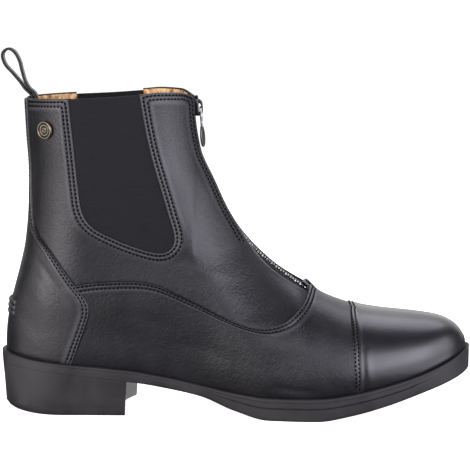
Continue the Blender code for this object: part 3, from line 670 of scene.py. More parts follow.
def on_upper(marks):
    """The turn and level of places marked on the side view, on the outer side."""
    marks = np.asarray(marks, float)
    along, level = np.meshgrid(np.linspace(0, 1, SEARCH_STEPS), np.linspace(0, 1, SEARCH_STEPS))
    x, z = side_place(along, level)
    gap = (marks[:, 0, None] - x.ravel()) ** 2 + (marks[:, 1, None] - z.ravel()) ** 2
    best = gap.argmin(axis=1)
    a, b = along.ravel()[best], np.maximum(level.ravel()[best], 0.001)
    nudge = 1e-4
    for _ in range(SEARCH_ROUNDS):
        here = np.stack(side_place(a, b), axis=-1)
        by_a = (np.stack(side_place(a + nudge, b), axis=-1) - here) / nudge
        by_b = (np.stack(side_place(a, b - nudge), axis=-1) - here) / -nudge
        miss = marks - here
        area = by_a[:, 0] * by_b[:, 1] - by_a[:, 1] * by_b[:, 0]
        area = np.where(np.abs(area) < TINY, TINY, area)
        a = np.clip(a + (miss[:, 0] * by_b[:, 1] - miss[:, 1] * by_b[:, 0]) / area, 0, 1)
        b = np.clip(b + (by_a[:, 0] * miss[:, 1] - by_a[:, 1] * miss[:, 0]) / area, 2 * nudge, 1)
    return np.stack([np.arccos(np.clip(2 * a - 1, -1, 1)), b], axis=1)


def spline(marks, parts=12):
    """A smooth line through marks."""
    marks = np.array(marks, float)
    ends = np.vstack([2 * marks[0] - marks[1], marks, 2 * marks[-1] - marks[-2]])
    line = []
    for i in range(1, len(ends) - 2):
        a, b, c, d = ends[i - 1:i + 3]
        for t in np.arange(parts) / parts:
            bend = (2 * a - 5 * b + 4 * c - d) * t ** 2 + (3 * b - a - 3 * c + d) * t ** 3
            line.append((2 * b + (c - a) * t + bend) / 2)
    return np.array(line + [marks[-1]])


def below_collar(line):
    """The part of a side view line under the collar, ended on the collar itself."""
    x, z = side_place(np.linspace(0, 1, 400), np.ones(400))
    depth = np.interp(line[:, 0], x, z) - line[:, 1]
    kept = []
    for i in range(len(line)):
        if i and depth[i - 1] * depth[i] < 0:
            kept.append(mix(line[i - 1], line[i], depth[i - 1] / (depth[i - 1] - depth[i])))
        if depth[i] > 0:
            kept.append(line[i])
    return np.array(kept)


def lengths(line):
    """Distances along a line of turns and levels, over the surface."""
    points = upper_surface(line[:, 0], line[:, 1])
    return np.append(0, np.cumsum(np.linalg.norm(np.diff(points, axis=0), axis=1)))


def pick(line, places):
    """Turns and levels at distances along a line."""
    far = lengths(line)
    return np.stack([np.interp(places, far, line[:, k]) for k in (0, 1)], axis=1)


def spread(length, near_start, near_end, step):
    """Distances along a length, close together at its ends."""
    start, end = np.asarray(near_start, float), length - np.asarray(near_end, float)[::-1]
    count = max(2, int(round((end[0] - start[-1]) / step)) + 1)
    return np.concatenate([start, np.linspace(start[-1], end[0], count)[1:-1], end])


SLANT_EASE = 4


def slants(lines):
    """How much longer a slanting way off an edge is than the square way, eased along the edge."""
    edge = np.gradient(lines[:, 0], axis=0)
    away = lines[:, 1] - lines[:, 0]
    square = np.linalg.norm(np.cross(edge, away), axis=1)
    slant = np.linalg.norm(edge, axis=1) * np.linalg.norm(away, axis=1) / np.maximum(square, TINY)
    padded = np.pad(np.clip(slant, 1, 2), SLANT_EASE, mode="edge")
    return np.convolve(padded, np.ones(2 * SLANT_EASE + 1) / (2 * SLANT_EASE + 1), "valid")


def nearest(places, line):
    """Distances of places from a line of straight pieces."""
    way = np.diff(line, axis=0)
    off = places[:, None, :] - line[:-1]
    share = np.clip((off * way).sum(axis=-1) / np.maximum((way ** 2).sum(axis=-1), TINY), 0, 1)
    return np.linalg.norm(off - share[..., None] * way, axis=-1).min(axis=1)


def ruled(first, second, near_first, near_second, rows, squared=False):
    """Grid of turns and levels between two matched lines, and its distances from both."""
    t = np.linspace(0, 1, 80)
    turn = mix(first[:, 0, None], second[:, 0, None], t)
    level = mix(first[:, 1, None], second[:, 1, None], t)
    points = upper_surface(turn, level)
    far = np.concatenate([np.zeros((len(first), 1)), np.cumsum(
        np.linalg.norm(np.diff(points, axis=1), axis=2), axis=1)], axis=1)
    start, end = np.asarray(near_first, float), np.asarray(near_second, float)[::-1]
    slant = slants(points) if squared else np.ones(len(first))
    grid, from_first, from_second = [], [], []
    for i in range(len(first)):
        length = far[i, -1]
        near = start * slant[i]
        share = min(1, 0.9 * length / (near[-1] + end[0]))
        places = np.concatenate([near * share, np.linspace(
            near[-1] * share, length - end[0] * share, rows + 2)[1:-1], length - end * share])
        t_at = np.interp(places, far[i], t)
        grid.append(np.stack([mix(first[i, k], second[i, k], t_at) for k in (0, 1)], axis=1))
        from_first.append(nearest(upper_surface(*grid[-1].T), points[:, 0]) if squared else places)
        from_second.append(length - places)
    return np.array(grid), np.array(from_first), np.array(from_second)


def sheet_solid(outer, inner):
    """Points and quads of a sheet with two skins, joined round its edge."""
    rows, columns = outer.shape[:2]
    skin = rows * columns
    index = np.arange(skin).reshape(rows, columns)
    edge = np.concatenate([index[0], index[1:, -1], index[-1, -2::-1], index[-2:0:-1, 0]])
    after = np.roll(edge, -1)
    band = np.stack([edge, after, after + skin, edge + skin], axis=1)
    quads = np.concatenate([grid_quads(rows, columns), grid_quads(rows, columns, skin), band])
    points = np.concatenate([outer.reshape(-1, 3), inner.reshape(-1, 3)])
    return points, quads


def edge_drop(distance, radius):
    """How far a turned edge falls away within its radius."""
    return radius - radius * round_end(distance / radius)


def trough(distance, place, width, depth):
    return -depth * np.exp(-((distance - place) / width) ** 2)


SEAM_WIDTH, SEAM_DEPTH, SEAM_SHADE = 0.5, 0.26, 0.15
RIDGE_WIDTH, RIDGE_HEIGHT = 0.75, 0.26
SWELL_PLACE, SWELL_WIDTH, SWELL_HEIGHT = 1.6, 1.2, 0.2
FOLD_PLACE, FOLD_WIDTH, FOLD_HEIGHT = 0.45, 0.5, 0.1
SHADE_WIDTH = 0.85 * SEAM_WIDTH
# Strengths of the painted highlight on the puffed leather, the folded edge and the swell beside the rows.
PUFF_HIGHLIGHT_PAINT, EDGE_HIGHLIGHT_PAINT, SWELL_HIGHLIGHT_PAINT = 0.12, 0.15, 0.12


def sewn_edge(distance, rows, swollen=1.0):
    """Relief, painted shade and painted highlight beside a sewn edge: a trough for each row and puffed
    leather between, shade painted in the troughs and highlight painted on the puff, the folded edge and the
    swell.
    """
    relief, seam = np.zeros_like(distance), np.zeros_like(distance)
    for row in rows:
        relief = relief + trough(distance, row, SEAM_WIDTH, SEAM_DEPTH)
        seam = np.maximum(seam, SEAM_SHADE * np.exp(-((distance - row) / SHADE_WIDTH) ** 2))
    between = (rows[0] + rows[1]) / 2
    puff = np.exp(-((distance - between) / RIDGE_WIDTH) ** 2)
    edge = np.exp(-((distance - FOLD_PLACE * rows[0]) / FOLD_WIDTH) ** 2)
    swell = swollen * np.exp(-((distance - rows[1] - SWELL_PLACE) / SWELL_WIDTH) ** 2)
    fold = np.maximum(np.maximum(PUFF_HIGHLIGHT_PAINT * puff, EDGE_HIGHLIGHT_PAINT * edge), SWELL_HIGHLIGHT_PAINT * swell)
    return relief + RIDGE_HEIGHT * puff + FOLD_HEIGHT * edge + SWELL_HEIGHT * swell, seam, fold


Crease = namedtuple("Crease", "x z x_end z_end sag width depth")


def creased(creases, x, z):
    """Soft folds in the leather: troughs for a positive depth, ridges for a negative one."""
    fall = np.zeros_like(x)
    for fold in creases:
        start, way = np.array([fold.x, fold.z]), np.array([fold.x_end - fold.x, fold.z_end - fold.z])
        length = np.hypot(*way)
        way = way / length
        along = ((x - start[0]) * way[0] + (z - start[1]) * way[1]) / length
        aside = -(x - start[0]) * way[1] + (z - start[1]) * way[0] - fold.sag * 4 * along * (1 - along)
        inside = np.clip(along, 0, 1)
        fall -= fold.depth * np.exp(-(aside / fold.width) ** 2) * np.sin(inside * math.pi) ** 0.8
    return fall


def leather_group():
    """Grain of smooth leather: shallow pores between fine wrinkles."""
    group, given, out = new_group("leather_grain", {"Pore scale": 900.0, "Wrinkle scale": 260.0}, ["Height"])
    place = add_node(group, "ShaderNodeTexCoord")
    pores = add_node(group, "ShaderNodeTexVoronoi", {"Randomness": 1.0}, feature="SMOOTH_F1")
    wrinkles = add_node(group, "ShaderNodeTexNoise", {"Detail": 5.0, "Roughness": 0.6, "Distortion": 0.4})
    for node, scale in ((pores, "Pore scale"), (wrinkles, "Wrinkle scale")):
        group.links.new(place.outputs["Object"], node.inputs["Vector"])
        group.links.new(given.outputs[scale], node.inputs["Scale"])
    both = add_node(group, "ShaderNodeMath", operation="MULTIPLY_ADD")
    both.inputs[1].default_value = 0.5
    group.links.new(pores.outputs["Distance"], both.inputs[0])
    group.links.new(wrinkles.outputs["Fac"], both.inputs[2])
    group.links.new(both.outputs[0], out.inputs["Height"])
    return group


leather_grain = leather_group()
FLEX_SCALE, FLEX_HEIGHT = 640.0, 0.00026


def flex_group():
    """Fine wrinkles drawn out up and down, where leather bends with the foot."""
    group, given, out = new_group("flex_wrinkles", {"Scale": FLEX_SCALE}, ["Height"])
    place = add_node(group, "ShaderNodeTexCoord")
    drawn = add_node(group, "ShaderNodeMapping")
    drawn.inputs["Scale"].default_value = (1.0, 1.0, 0.5)
    noise = add_node(group, "ShaderNodeTexNoise", {"Detail": 3.0, "Roughness": 0.6, "Distortion": 0.6})
    group.links.new(place.outputs["Object"], drawn.inputs["Vector"])
    group.links.new(drawn.outputs["Vector"], noise.inputs["Vector"])
    group.links.new(given.outputs["Scale"], noise.inputs["Scale"])
    group.links.new(noise.outputs["Fac"], out.inputs["Height"])
    return group


flex_wrinkles = flex_group()


def make_leather(name, dark, light, smooth, rough, grain, coat, coat_rough):
    """Dyed and waxed leather: gloss uneven in broad patches, darkened and duller in the seams as painted
    shade, and paler on ridges and folded edges as painted highlight.
    """
    material, shader = new_material(name, dark, Coat_Roughness=coat_rough)
    tree = material.node_tree
    tone = place_group(material, uneven_tone, Patch_scale=32.0, Speckle_scale=1100.0)
    skin = place_group(material, leather_grain, Pore_scale=1000.0, Wrinkle_scale=330.0)
    seam = add_node(tree, "ShaderNodeAttribute", attribute_name="seam")
    fold = add_node(tree, "ShaderNodeAttribute", attribute_name="fold")
    colour = blend_colours(material, tone.outputs["Patches"], dark, light, 0.3, 0.7)
    colour = blend_colours(material, fold.outputs["Fac"], colour, HIGHLIGHT_PAINT_GREY)
    colour = blend_colours(material, seam.outputs["Fac"], colour, SEAM_SHADE_BLACK)
    feed(shader, "Base Color", colour)
    gloss = add_node(tree, "ShaderNodeMath", {1: 0.45}, operation="MULTIPLY_ADD")
    tree.links.new(seam.outputs["Fac"], gloss.inputs[0])
    tree.links.new(blend_values(material, tone.outputs["Patches"], smooth, rough, 0.3, 0.7), gloss.inputs[2])
    feed(shader, "Roughness", gloss.outputs[0])
    feed(shader, "Coat Weight", blend_values(material, seam.outputs["Fac"], coat, 0.0))
    fine = add_bump(material, shader, skin.outputs["Height"], grain, 0.5)
    flex = add_node(tree, "ShaderNodeAttribute", attribute_name="flex")
    wrinkles = place_group(material, flex_wrinkles)
    raised_by = add_node(tree, "ShaderNodeMath", operation="MULTIPLY")
    tree.links.new(wrinkles.outputs["Height"], raised_by.inputs[0])
    tree.links.new(flex.outputs["Fac"], raised_by.inputs[1])
    add_bump(material, shader, raised_by.outputs[0], FLEX_HEIGHT, 1.0, fine)
    return material


BLACK_DARK, BLACK_LIGHT = (0.0030, 0.0028, 0.0038), (0.0062, 0.0058, 0.0076)
# The fold mark paints ridges and edges grey as painted highlight; the seam mark paints the seams near black
# as painted shade.
HIGHLIGHT_PAINT_GREY, SEAM_SHADE_BLACK = (0.200, 0.195, 0.210), (0.0010, 0.0010, 0.0010)
calf = make_leather("black_calf", BLACK_DARK, BLACK_LIGHT, 0.38, 0.48, 0.00045, 0.2, 0.3)

Mark = namedtuple("Mark", "x z")
GORE_EDGE = [
    Mark(42.8, 204.9),
    Mark(43.4, 187.4),
    Mark(46.3, 157.3),
    Mark(48.6, 133.9),
    Mark(50.9, 120.3),
    Mark(57.0, 111.9),
    Mark(68.9, 105.5),
    Mark(81.0, 100.6),
    Mark(94.5, 97.0),
    Mark(102.0, 98.9),
    Mark(104.7, 106.0),
    Mark(100.5, 122.0),
    Mark(90.6, 157.2),
    Mark(84.6, 189.8),
    Mark(82.7, 204.9),
]
GORE_BACK_CORNER, GORE_FRONT_CORNER = 4, 10
ZIP_END_X = 190.0
LIP_HALF_TOP, LIP_HALF_FOOT = 3.4, 12.5
LIP_RISE, INNER_LIP_RISE, LIP_REACH = 0.3, 2.8, 5.0
LIP_SHADE, LIP_SHADE_X, LIP_SHADE_Z = 0.85, (176.5, 181.5), (60.0, 67.0)
LIP_HIGHLIGHT_AT, LIP_HIGHLIGHT_WIDE = 0.7, 0.5
FAR_LIP_PAINTED_SHADE = (1.2, 2.6)
EDGE_ROWS = [0, 0.08, 0.22, 0.45, 0.75, 1.1, 1.5, 1.85, 2.2, 2.7, 3.3, 3.85, 4.2, 4.6, 5.2, 6.0]
QUARTER_STITCHES = (1.85, 4.2)
ZIP_ROWS = [0, 0.1, 0.3, 0.6, 1.0, 1.6, 2.4, 3.2, 3.8, 4.2, 4.6, 5.0, 5.5, 6.2, 6.9, 7.4, 7.9, 8.3, 8.8, 9.6]
ZIP_STITCHES = (4.6, 7.9)
ZIP_MARGIN, ZIP_MARGIN_SHADE, ZIP_MARGIN_PLAIN = (7.5, 14.0), 0.5, 0.6
QUARTER_ROWS = 34
gore_line = below_collar(spline(GORE_EDGE))
gore_edge = on_upper(gore_line)
zip_foot_step = np.interp(-ZIP_END_X, -fine_front_x[:-1], fine_steps)
zip_foot_level = (zip_foot_step / front_length) ** (1 / LEVEL_EASE)


def slot_edge():
    """The zip's opening from its foot to the collar: where the upper is as wide as the slot."""
    levels = np.linspace(zip_foot_level, 1, 160)
    edge = []
    for level in levels:
        up = (level - zip_foot_level) / (1 - zip_foot_level)
        half = mix(LIP_HALF_FOOT, LIP_HALF_TOP, ease(0.1, 0.5, up))
        turns = np.linspace(0, 1.2, 240)
        wide = np.abs(upper_surface(turns, np.full_like(turns, level))[:, 1] - upper_surface(
            np.zeros(1), np.full(1, level))[0, 1])
        edge.append((np.interp(half, np.maximum.accumulate(wide), turns), level))
    return np.array(edge)


zip_edge = slot_edge()
back_edge = np.stack([np.full(200, math.pi), np.linspace(1, 0, 200)], axis=1)
foot_edge = np.stack([np.linspace(math.pi, 0, 400), np.zeros(400)], axis=1)
toe_edge = np.stack([np.zeros(80), np.linspace(0, zip_foot_level, 80)], axis=1)
slot_start = np.stack([np.linspace(0, zip_edge[0, 0], 20), np.full(20, zip_foot_level)], axis=1)
quarter_edge = np.concatenate([back_edge, foot_edge[1:], toe_edge[1:], slot_start[1:], zip_edge[1:]])

gore_far, quarter_far = lengths(gore_edge), lengths(quarter_edge)
gore_marks = on_upper(np.array([GORE_EDGE[GORE_BACK_CORNER], GORE_EDGE[GORE_FRONT_CORNER]]))
gore_back_at, gore_front_at = [
    gore_far[np.hypot(*(gore_edge - mark).T).argmin()] for mark in gore_marks]
back_length = lengths(back_edge)[-1]
zip_length = lengths(zip_edge)[-1]
COLLAR_ROWS = [0, 0.1, 0.3, 0.6, 1.0, 1.5, 2.0, 2.5, 3.0, 3.8, 4.6, 5.4, 6.4]
COLLAR_BAND = COLLAR_ROWS[-1]
CORNER_EASE, FOLD_ROUND, COLLAR_ROUND = 2.0, 0.75, 0.8
front_part = gore_far[-1] - gore_front_at
gore_places = np.concatenate([
    spread(gore_back_at, COLLAR_ROWS, [0.0], 1.3),
    spread(gore_front_at - gore_back_at, [0.0], [0.0], 0.8)[1:] + gore_back_at,
    (front_part - spread(front_part, COLLAR_ROWS, [0.0], 1.3))[::-1][1:] + gore_front_at,
])
quarter_places = np.interp(
    gore_places,
    [0, COLLAR_BAND, gore_back_at, gore_front_at, gore_far[-1] - COLLAR_BAND, gore_far[-1]],
    [0, COLLAR_BAND, back_length * 0.5, quarter_far[-1] - zip_length * 0.72, quarter_far[-1] - COLLAR_BAND,
     quarter_far[-1]])
quarter_grid, from_gore, from_zip = ruled(
    pick(gore_edge, gore_places), pick(quarter_edge, quarter_places),
    EDGE_ROWS, ZIP_ROWS, QUARTER_ROWS, squared=True)
from_collar = np.minimum(gore_places, gore_far[-1] - gore_places)[:, None]
zip_start = quarter_far[-1] - zip_length
on_zip = ease(zip_start, zip_start + 4, quarter_places)[:, None]
on_zip_rows = ease(zip_start + 48, zip_start + 60, quarter_places)[:, None]
lip_open = (1 - ease(zip_start + 31, zip_start + 66, quarter_places))[:, None] * on_zip
OUTER_CREASES = [
    Crease(28, 116, 46, 121, 0.6, 0.9, 0.1),
    Crease(26, 112, 45, 114.5, 0.8, 0.8, 0.09),
    Crease(30, 120, 47, 125, 0.4, 0.9, 0.09),
    Crease(27, 108, 44, 109.5, 0.5, 0.8, 0.08),
    Crease(29, 124, 46, 130, 0.5, 0.9, 0.06),
    Crease(88, 92, 142, 88, 1.5, 4.5, 0.4),
    Crease(112, 99, 146, 94, -0.8, 3.5, 0.16),
    Crease(100, 83, 150, 76, 1.0, 4.0, 0.2),
]
INNER_CREASES = [
    Crease(27, 113, 46, 117, 0.8, 1.2, 0.25),
    Crease(31, 119, 47, 124, 0.3, 1.1, 0.2),
    Crease(90, 94, 140, 87, 1.0, 3.0, 0.5),
    Crease(98, 88, 146, 80, 1.2, 2.8, 0.35),
    Crease(110, 102, 144, 97, -0.6, 2.2, 0.22),
]


def lip_rise(side):
    """How far the lips stand up beside the lower part of the zip."""
    rise = LIP_RISE if side > 0 else INNER_LIP_RISE
    return rise * lip_open * np.exp(-(from_zip / LIP_REACH) ** 2)


def quarter_out(side):
    """How far the quarter's skin stands from the plain upper, and its marks: painted shade in the seams and
    painted highlight on the folds and lips.
    """
    place = upper_surface(quarter_grid[..., 0], quarter_grid[..., 1])
    out = creased(OUTER_CREASES if side > 0 else INNER_CREASES, place[..., 0], place[..., 2])
    collar = np.broadcast_to(from_collar, from_gore.shape)
    gauge = (QUARTER_STITCHES[1] - QUARTER_STITCHES[0]) / (ZIP_STITCHES[1] - ZIP_STITCHES[0])
    as_sewn = QUARTER_STITCHES[0] + (from_zip - ZIP_STITCHES[0]) * gauge
    swollen = mix(0.15, 1.0, ease(102, 124, place[..., 2]))
    near_zip = smooth_least(smooth_least(from_gore, as_sewn, CORNER_EASE), collar, CORNER_EASE)
    with_zip = sewn_edge(near_zip, QUARTER_STITCHES, swollen)
    without = sewn_edge(smooth_least(from_gore, collar, CORNER_EASE), QUARTER_STITCHES, swollen)
    relief, seam, fold = [mix(a, b, on_zip_rows) for a, b in zip(without, with_zip)]
    zip_margin = on_zip_rows * (1 - ease(*ZIP_MARGIN, from_zip))
    seam = np.maximum(seam, ZIP_MARGIN_SHADE * zip_margin)
    fold = fold * (1 - ZIP_MARGIN_PLAIN * zip_margin)
    # A pale painted highlight along the rolled edge of each zip lip, stronger where the lips stand open.
    lip = on_zip * np.exp(-((from_zip - LIP_HIGHLIGHT_AT) / LIP_HIGHLIGHT_WIDE) ** 2)
    under_lip = ease(*LIP_SHADE_X, place[..., 0]) * ease(*LIP_SHADE_Z, place[..., 2])
    seam = np.maximum(seam, LIP_SHADE * under_lip)
    # The inner side's far lip is painted dark as painted shade and loses its painted highlight.
    if side < 0:
        far_lip_shade = lip_open * (1 - ease(*FAR_LIP_PAINTED_SHADE, from_zip))
        seam = np.maximum(seam, far_lip_shade)
        lip = lip * (1 - lip_open)
    out = out + relief + lip_rise(side) - edge_drop(from_gore, FOLD_ROUND) - edge_drop(collar, COLLAR_ROUND)
    out = out - on_zip * edge_drop(from_zip, FOLD_ROUND)
    return out, seam, np.maximum(fold, mix(0.5, 0.8, lip_open) * lip)


def smooth_least(a, b, round_by):
    """The smaller of two distances, rounded where they are alike."""
    h = np.clip(0.5 + 0.5 * (b - a) / round_by, 0, 1)
    return mix(b, a, h) - round_by * h * (1 - h)


def on_side(grid, side):
    """A grid of turns moved to one side of the boot."""
    return grid[..., 0] * side, grid[..., 1]


INNER_RISE, INNER_RISE_Z = 0.9, (140, 186)


def raised(points):
    """The inner side's collar, a little higher than the outer side's."""
    lifted = points.copy()
    lifted[..., 2] += INNER_RISE * ease(*INNER_RISE_Z, points[..., 2])
    return lifted


FACING, COLLAR_TURN = 8.0, 0.9
LINING_THIN, LINING_THIN_DEEP = 0.45, 0.5
lined = (from_zip[:-1, :-1] > FACING) & (from_collar[:-1] > COLLAR_TURN) & (from_collar[1:] > COLLAR_TURN)
for side, name in ((1, "outer"), (-1, "inner")):
    turn, level = on_side(quarter_grid, side)
    out, seam, fold = quarter_out(side)
    outer = upper_point(turn, level, out)
    lining_in = -WALL + LINING_THIN * np.exp(-from_collar / LINING_THIN_DEEP) + lip_rise(side)
    inner = upper_point(turn, level, lining_in)
    if side < 0:
        outer, inner = raised(outer), raised(inner)
    points, quads = sheet_solid(outer, inner)
    skin = (turn.shape[0] - 1) * (turn.shape[1] - 1)
    choice = np.zeros(len(quads), int)
    choice[skin:2 * skin] = lined.ravel()
    marks = {"seam": np.append(seam, 0 * seam), "fold": np.append(fold, 0 * fold)}
    quarter = add_piece("quarter_" + name, points, quads, [calf, tan], choice, sharp=60, marks=marks)
    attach(quarter, "boot")
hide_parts("upper")

THREAD_DARK, THREAD_LIGHT = (0.0012, 0.0012, 0.0014), (0.004, 0.004, 0.0045)
thread, thread_shader = new_material("black_thread", THREAD_DARK, Roughness=0.7, Specular_IOR_Level=0.1)
thread_tone = place_group(thread, uneven_tone, Patch_scale=600.0, Speckle_scale=4000.0)
thread_colour = blend_colours(thread, thread_tone.outputs["Patches"], THREAD_DARK, THREAD_LIGHT, 0.4, 0.75)
feed(thread_shader, "Base Color", thread_colour)
STITCH_PITCH = 2.4
STITCH_SHARE = 0.72
STITCH_RADIUS = 0.58
STITCH_SIDES = 6
STITCH_FLAT, STITCH_AHEAD = 0.8, 0.2
Ring = namedtuple("Ring", "along size lift")
STITCH_RINGS = [Ring(0.0, 0.4, -0.25), Ring(0.12, 0.85, 0.05), Ring(0.5, 1.0, 0.15), Ring(0.88, 0.85, 0.05),
                Ring(1.0, 0.4, -0.25)]


def stitches(points, normals, radius):
    """Points and quads of a row of stitches along a line on the leather."""
    far = np.append(0, np.cumsum(np.linalg.norm(np.diff(points, axis=0), axis=1)))
    count = max(1, int(far[-1] / STITCH_PITCH))
    step = far[-1] / count
    start = np.arange(count) * step + step * (1 - STITCH_SHARE) / 2
    turn = turns_round(STITCH_SIDES)[None, :, None]

    def along(line, at):
        return np.stack([np.interp(at, far, line[:, k]) for k in range(3)], axis=1)

    rings = []
    for ring in STITCH_RINGS:
        at = start + ring.along * step * STITCH_SHARE
        normal = unit(along(normals, at))
        across = unit(np.cross(along(points, at + STITCH_AHEAD) - along(points, at - STITCH_AHEAD), normal))
        wide = np.cos(turn) * across[:, None, :] + STITCH_FLAT * np.sin(turn) * normal[:, None, :]
        centre = along(points, at) + ring.lift * normal
        rings.append(centre[:, None, :] + ring.size * radius * wide)
    points = np.stack(rings, axis=1)
    tube = grid_quads(len(STITCH_RINGS), STITCH_SIDES, wrap=True)
    each = len(STITCH_RINGS) * STITCH_SIDES
    last = (len(STITCH_RINGS) - 1) * STITCH_SIDES
    caps = np.array([[0, 1, 2, 3], [0, 3, 4, 5], [last + 3, last + 2, last + 1, last],
                     [last + 5, last + 4, last + 3, last]])
    one = np.concatenate([tube, caps])
    quads = np.concatenate([one + each * i for i in range(count)])
    return points.reshape(-1, 3), quads


def row_on_upper(line, out):
    """A line of turns and levels as places on the leather and the ways out from it."""
    turn, level = line[:, 0], line[:, 1]
    places = upper_point(turn, level, np.full(len(line), out))
    return places, upper_point(turn, level, np.full(len(line), out + 1.0)) - places


def sew(name, rows, radius=STITCH_RADIUS):
    """One piece of thread from several rows of stitches."""
    points, quads, start = [], [], 0
    for places, normals in rows:
        row_points, row_quads = stitches(places, normals, radius)
        points.append(row_points)
        quads.append(row_quads + start)
        start += len(row_points)
    piece = add_piece(name, np.concatenate(points), np.concatenate(quads), [thread], sharp=180)
    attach(piece, "boot")
    return piece


def along_rows(grid, distances, place):
    """The line across a grid's columns at a distance from its first edge."""
    line = []
    for i in range(len(grid)):
        line.append([np.interp(place, distances[i], grid[i, :, k]) for k in (0, 1)])
    return np.array(line)


def mirrored(line, side):
    return np.stack([line[:, 0] * side, line[:, 1]], axis=1)


def rounded(line, reach=1.6, step=0.4):
    """A line of turns and levels with its corners eased."""
    far = lengths(line)
    even = pick(line, np.linspace(0, far[-1], int(far[-1] / step)))
    wide = int(reach / step)
    padded = np.pad(even, ((wide, wide), (0, 0)), mode="edge")
    evenly = np.ones(2 * wide + 1) / (2 * wide + 1)
    soft = np.stack([np.convolve(padded[:, k], evenly, "valid") for k in (0, 1)], axis=1)
    soft[:wide], soft[-wide:] = even[:wide], even[-wide:]
    return soft


ZIP_ROWS_FOOT, QUARTER_BED = 50, -0.05
quarter_rows = []
for row, zip_row in zip(QUARTER_STITCHES, ZIP_STITCHES):
    under_collar = (gore_places > row) & (gore_places < gore_far[-1] - row)
    beside_gore = along_rows(quarter_grid, from_gore, row)[under_collar]
    beside_zip = along_rows(quarter_grid[:, ::-1], from_zip[:, ::-1], zip_row)
    up_zip = (quarter_places > zip_start + ZIP_ROWS_FOOT) & (quarter_places < quarter_far[-1] - row)
    beside_zip = beside_zip[up_zip]
    back = np.searchsorted(gore_places, row)
    front = np.searchsorted(gore_places, gore_far[-1] - row)
    under_back = quarter_grid[back][from_gore[back] > row][::-1]
    under_front = quarter_grid[front][(from_gore[front] > row) & (from_zip[front] > zip_row)]
    whole = rounded(np.concatenate([under_back, beside_gore, under_front, beside_zip[::-1]]))
    for side in (1, -1):
        places, normals = row_on_upper(mirrored(whole, side), QUARTER_BED)
        quarter_rows.append((places if side > 0 else raised(places), normals))
sew("quarter_stitches", quarter_rows)


# Gores: two panels of black ribbed elastic that let the boot stretch over the ankle.
# Each is woven with rubber cord in its ribs and sewn behind the edge of its window.
GORE_SINK = 0.75
GORE_THICK = 1.25
GORE_TUCK, GORE_SHORT, GORE_BELLY = 0.25, 0.25, 0.35
RIB_PITCH = 0.92
RIB_HEIGHT = 0.13
RIB_STEPS = 5
GORE_ACROSS = 26
GORE_LOW = Mark(94.5, 97.0)
ELASTIC_DARK, ELASTIC_LIGHT = (0.0016, 0.0015, 0.0022), (0.0058, 0.0055, 0.0072)


def weave_group():
    """Crossed threads: even rows one way and the other, from 0 to 1."""
    group, given, out = new_group("weave", {"Across scale": 900.0, "Upward scale": 900.0}, ["Height"])
    place = add_node(group, "ShaderNodeTexCoord")
    split = add_node(group, "ShaderNodeSeparateXYZ")
    group.links.new(place.outputs["Object"], split.inputs["Vector"])
    waves = []
    for axis, scale in (("X", "Across scale"), ("Z", "Upward scale")):
        turns = add_node(group, "ShaderNodeMath", operation="MULTIPLY")
        group.links.new(split.outputs[axis], turns.inputs[0])
        group.links.new(given.outputs[scale], turns.inputs[1])
        wave = add_node(group, "ShaderNodeMath", operation="SINE")
        group.links.new(turns.outputs[0], wave.inputs[0])
        waves.append(wave)
    product = add_node(group, "ShaderNodeMath", operation="MULTIPLY")
    group.links.new(waves[0].outputs[0], product.inputs[0])
    group.links.new(waves[1].outputs[0], product.inputs[1])
    half = add_node(group, "ShaderNodeMath", operation="MULTIPLY_ADD")
    half.inputs[1].default_value = 0.5
    half.inputs[2].default_value = 0.5
    group.links.new(product.outputs[0], half.inputs[0])
    group.links.new(half.outputs[0], out.inputs["Height"])
    return group


weave = weave_group()
elastic, elastic_shader = new_material(
    "ribbed_elastic", ELASTIC_DARK, Roughness=0.8, Specular_IOR_Level=0.3, Sheen_Weight=0.05)
elastic_weave = place_group(elastic, weave, Across_scale=9000.0, Upward_scale=6800.0)
elastic_colour = blend_colours(elastic, elastic_weave.outputs["Height"], ELASTIC_DARK, ELASTIC_LIGHT)
feed(elastic_shader, "Base Color", elastic_colour)
add_bump(elastic, elastic_shader, elastic_weave.outputs["Height"], 0.0001, 0.6)
lowest = gore_line[:, 1].argmin()
collar_x, collar_z = side_place(np.linspace(0, 1, 400), np.ones(400))
ribs = (COLLAR_BACK_Z - GORE_LOW.z) / RIB_PITCH
rise = np.linspace(0, 1, int(ribs * RIB_STEPS))
level_z = mix(gore_line[lowest, 1] + 0.02, COLLAR_BACK_Z + 2.0, rise)
back_x = np.interp(level_z, gore_line[lowest::-1, 1], gore_line[lowest::-1, 0]) - GORE_TUCK
front_x = np.interp(level_z, gore_line[lowest:, 1], gore_line[lowest:, 0]) + GORE_TUCK
gore_x = mix(back_x[:, None], front_x[:, None], np.linspace(0, 1, GORE_ACROSS)[None, :])
gore_top = np.interp(gore_x, collar_x, collar_z) - GORE_SHORT
gore_z = mix(gore_line[lowest, 1], gore_top, rise[:, None])
gore_grid = on_upper(np.stack([gore_x.ravel(), gore_z.ravel()], axis=1)).reshape(*gore_x.shape, 2)
rib_wave = np.cos((gore_z - GORE_LOW.z) * 2 * math.pi / RIB_PITCH)
gore_belly = GORE_BELLY * np.sin(np.linspace(0, math.pi, GORE_ACROSS))[None, :]
for side, name in ((1, "outer"), (-1, "inner")):
    turn, level = on_side(gore_grid, side)
    skin_out = -GORE_SINK + RIB_HEIGHT * rib_wave * (1 - ease(0.985, 1.0, rise))[:, None] + gore_belly
    outer = upper_point(turn, level, skin_out)
    inner = upper_point(turn, level, skin_out - GORE_THICK + 0.1)
    gore = add_piece("gore_panel_" + name, *sheet_solid(outer, inner), [elastic], sharp=80)
    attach(gore, "boot")
    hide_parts("gore_" + name)


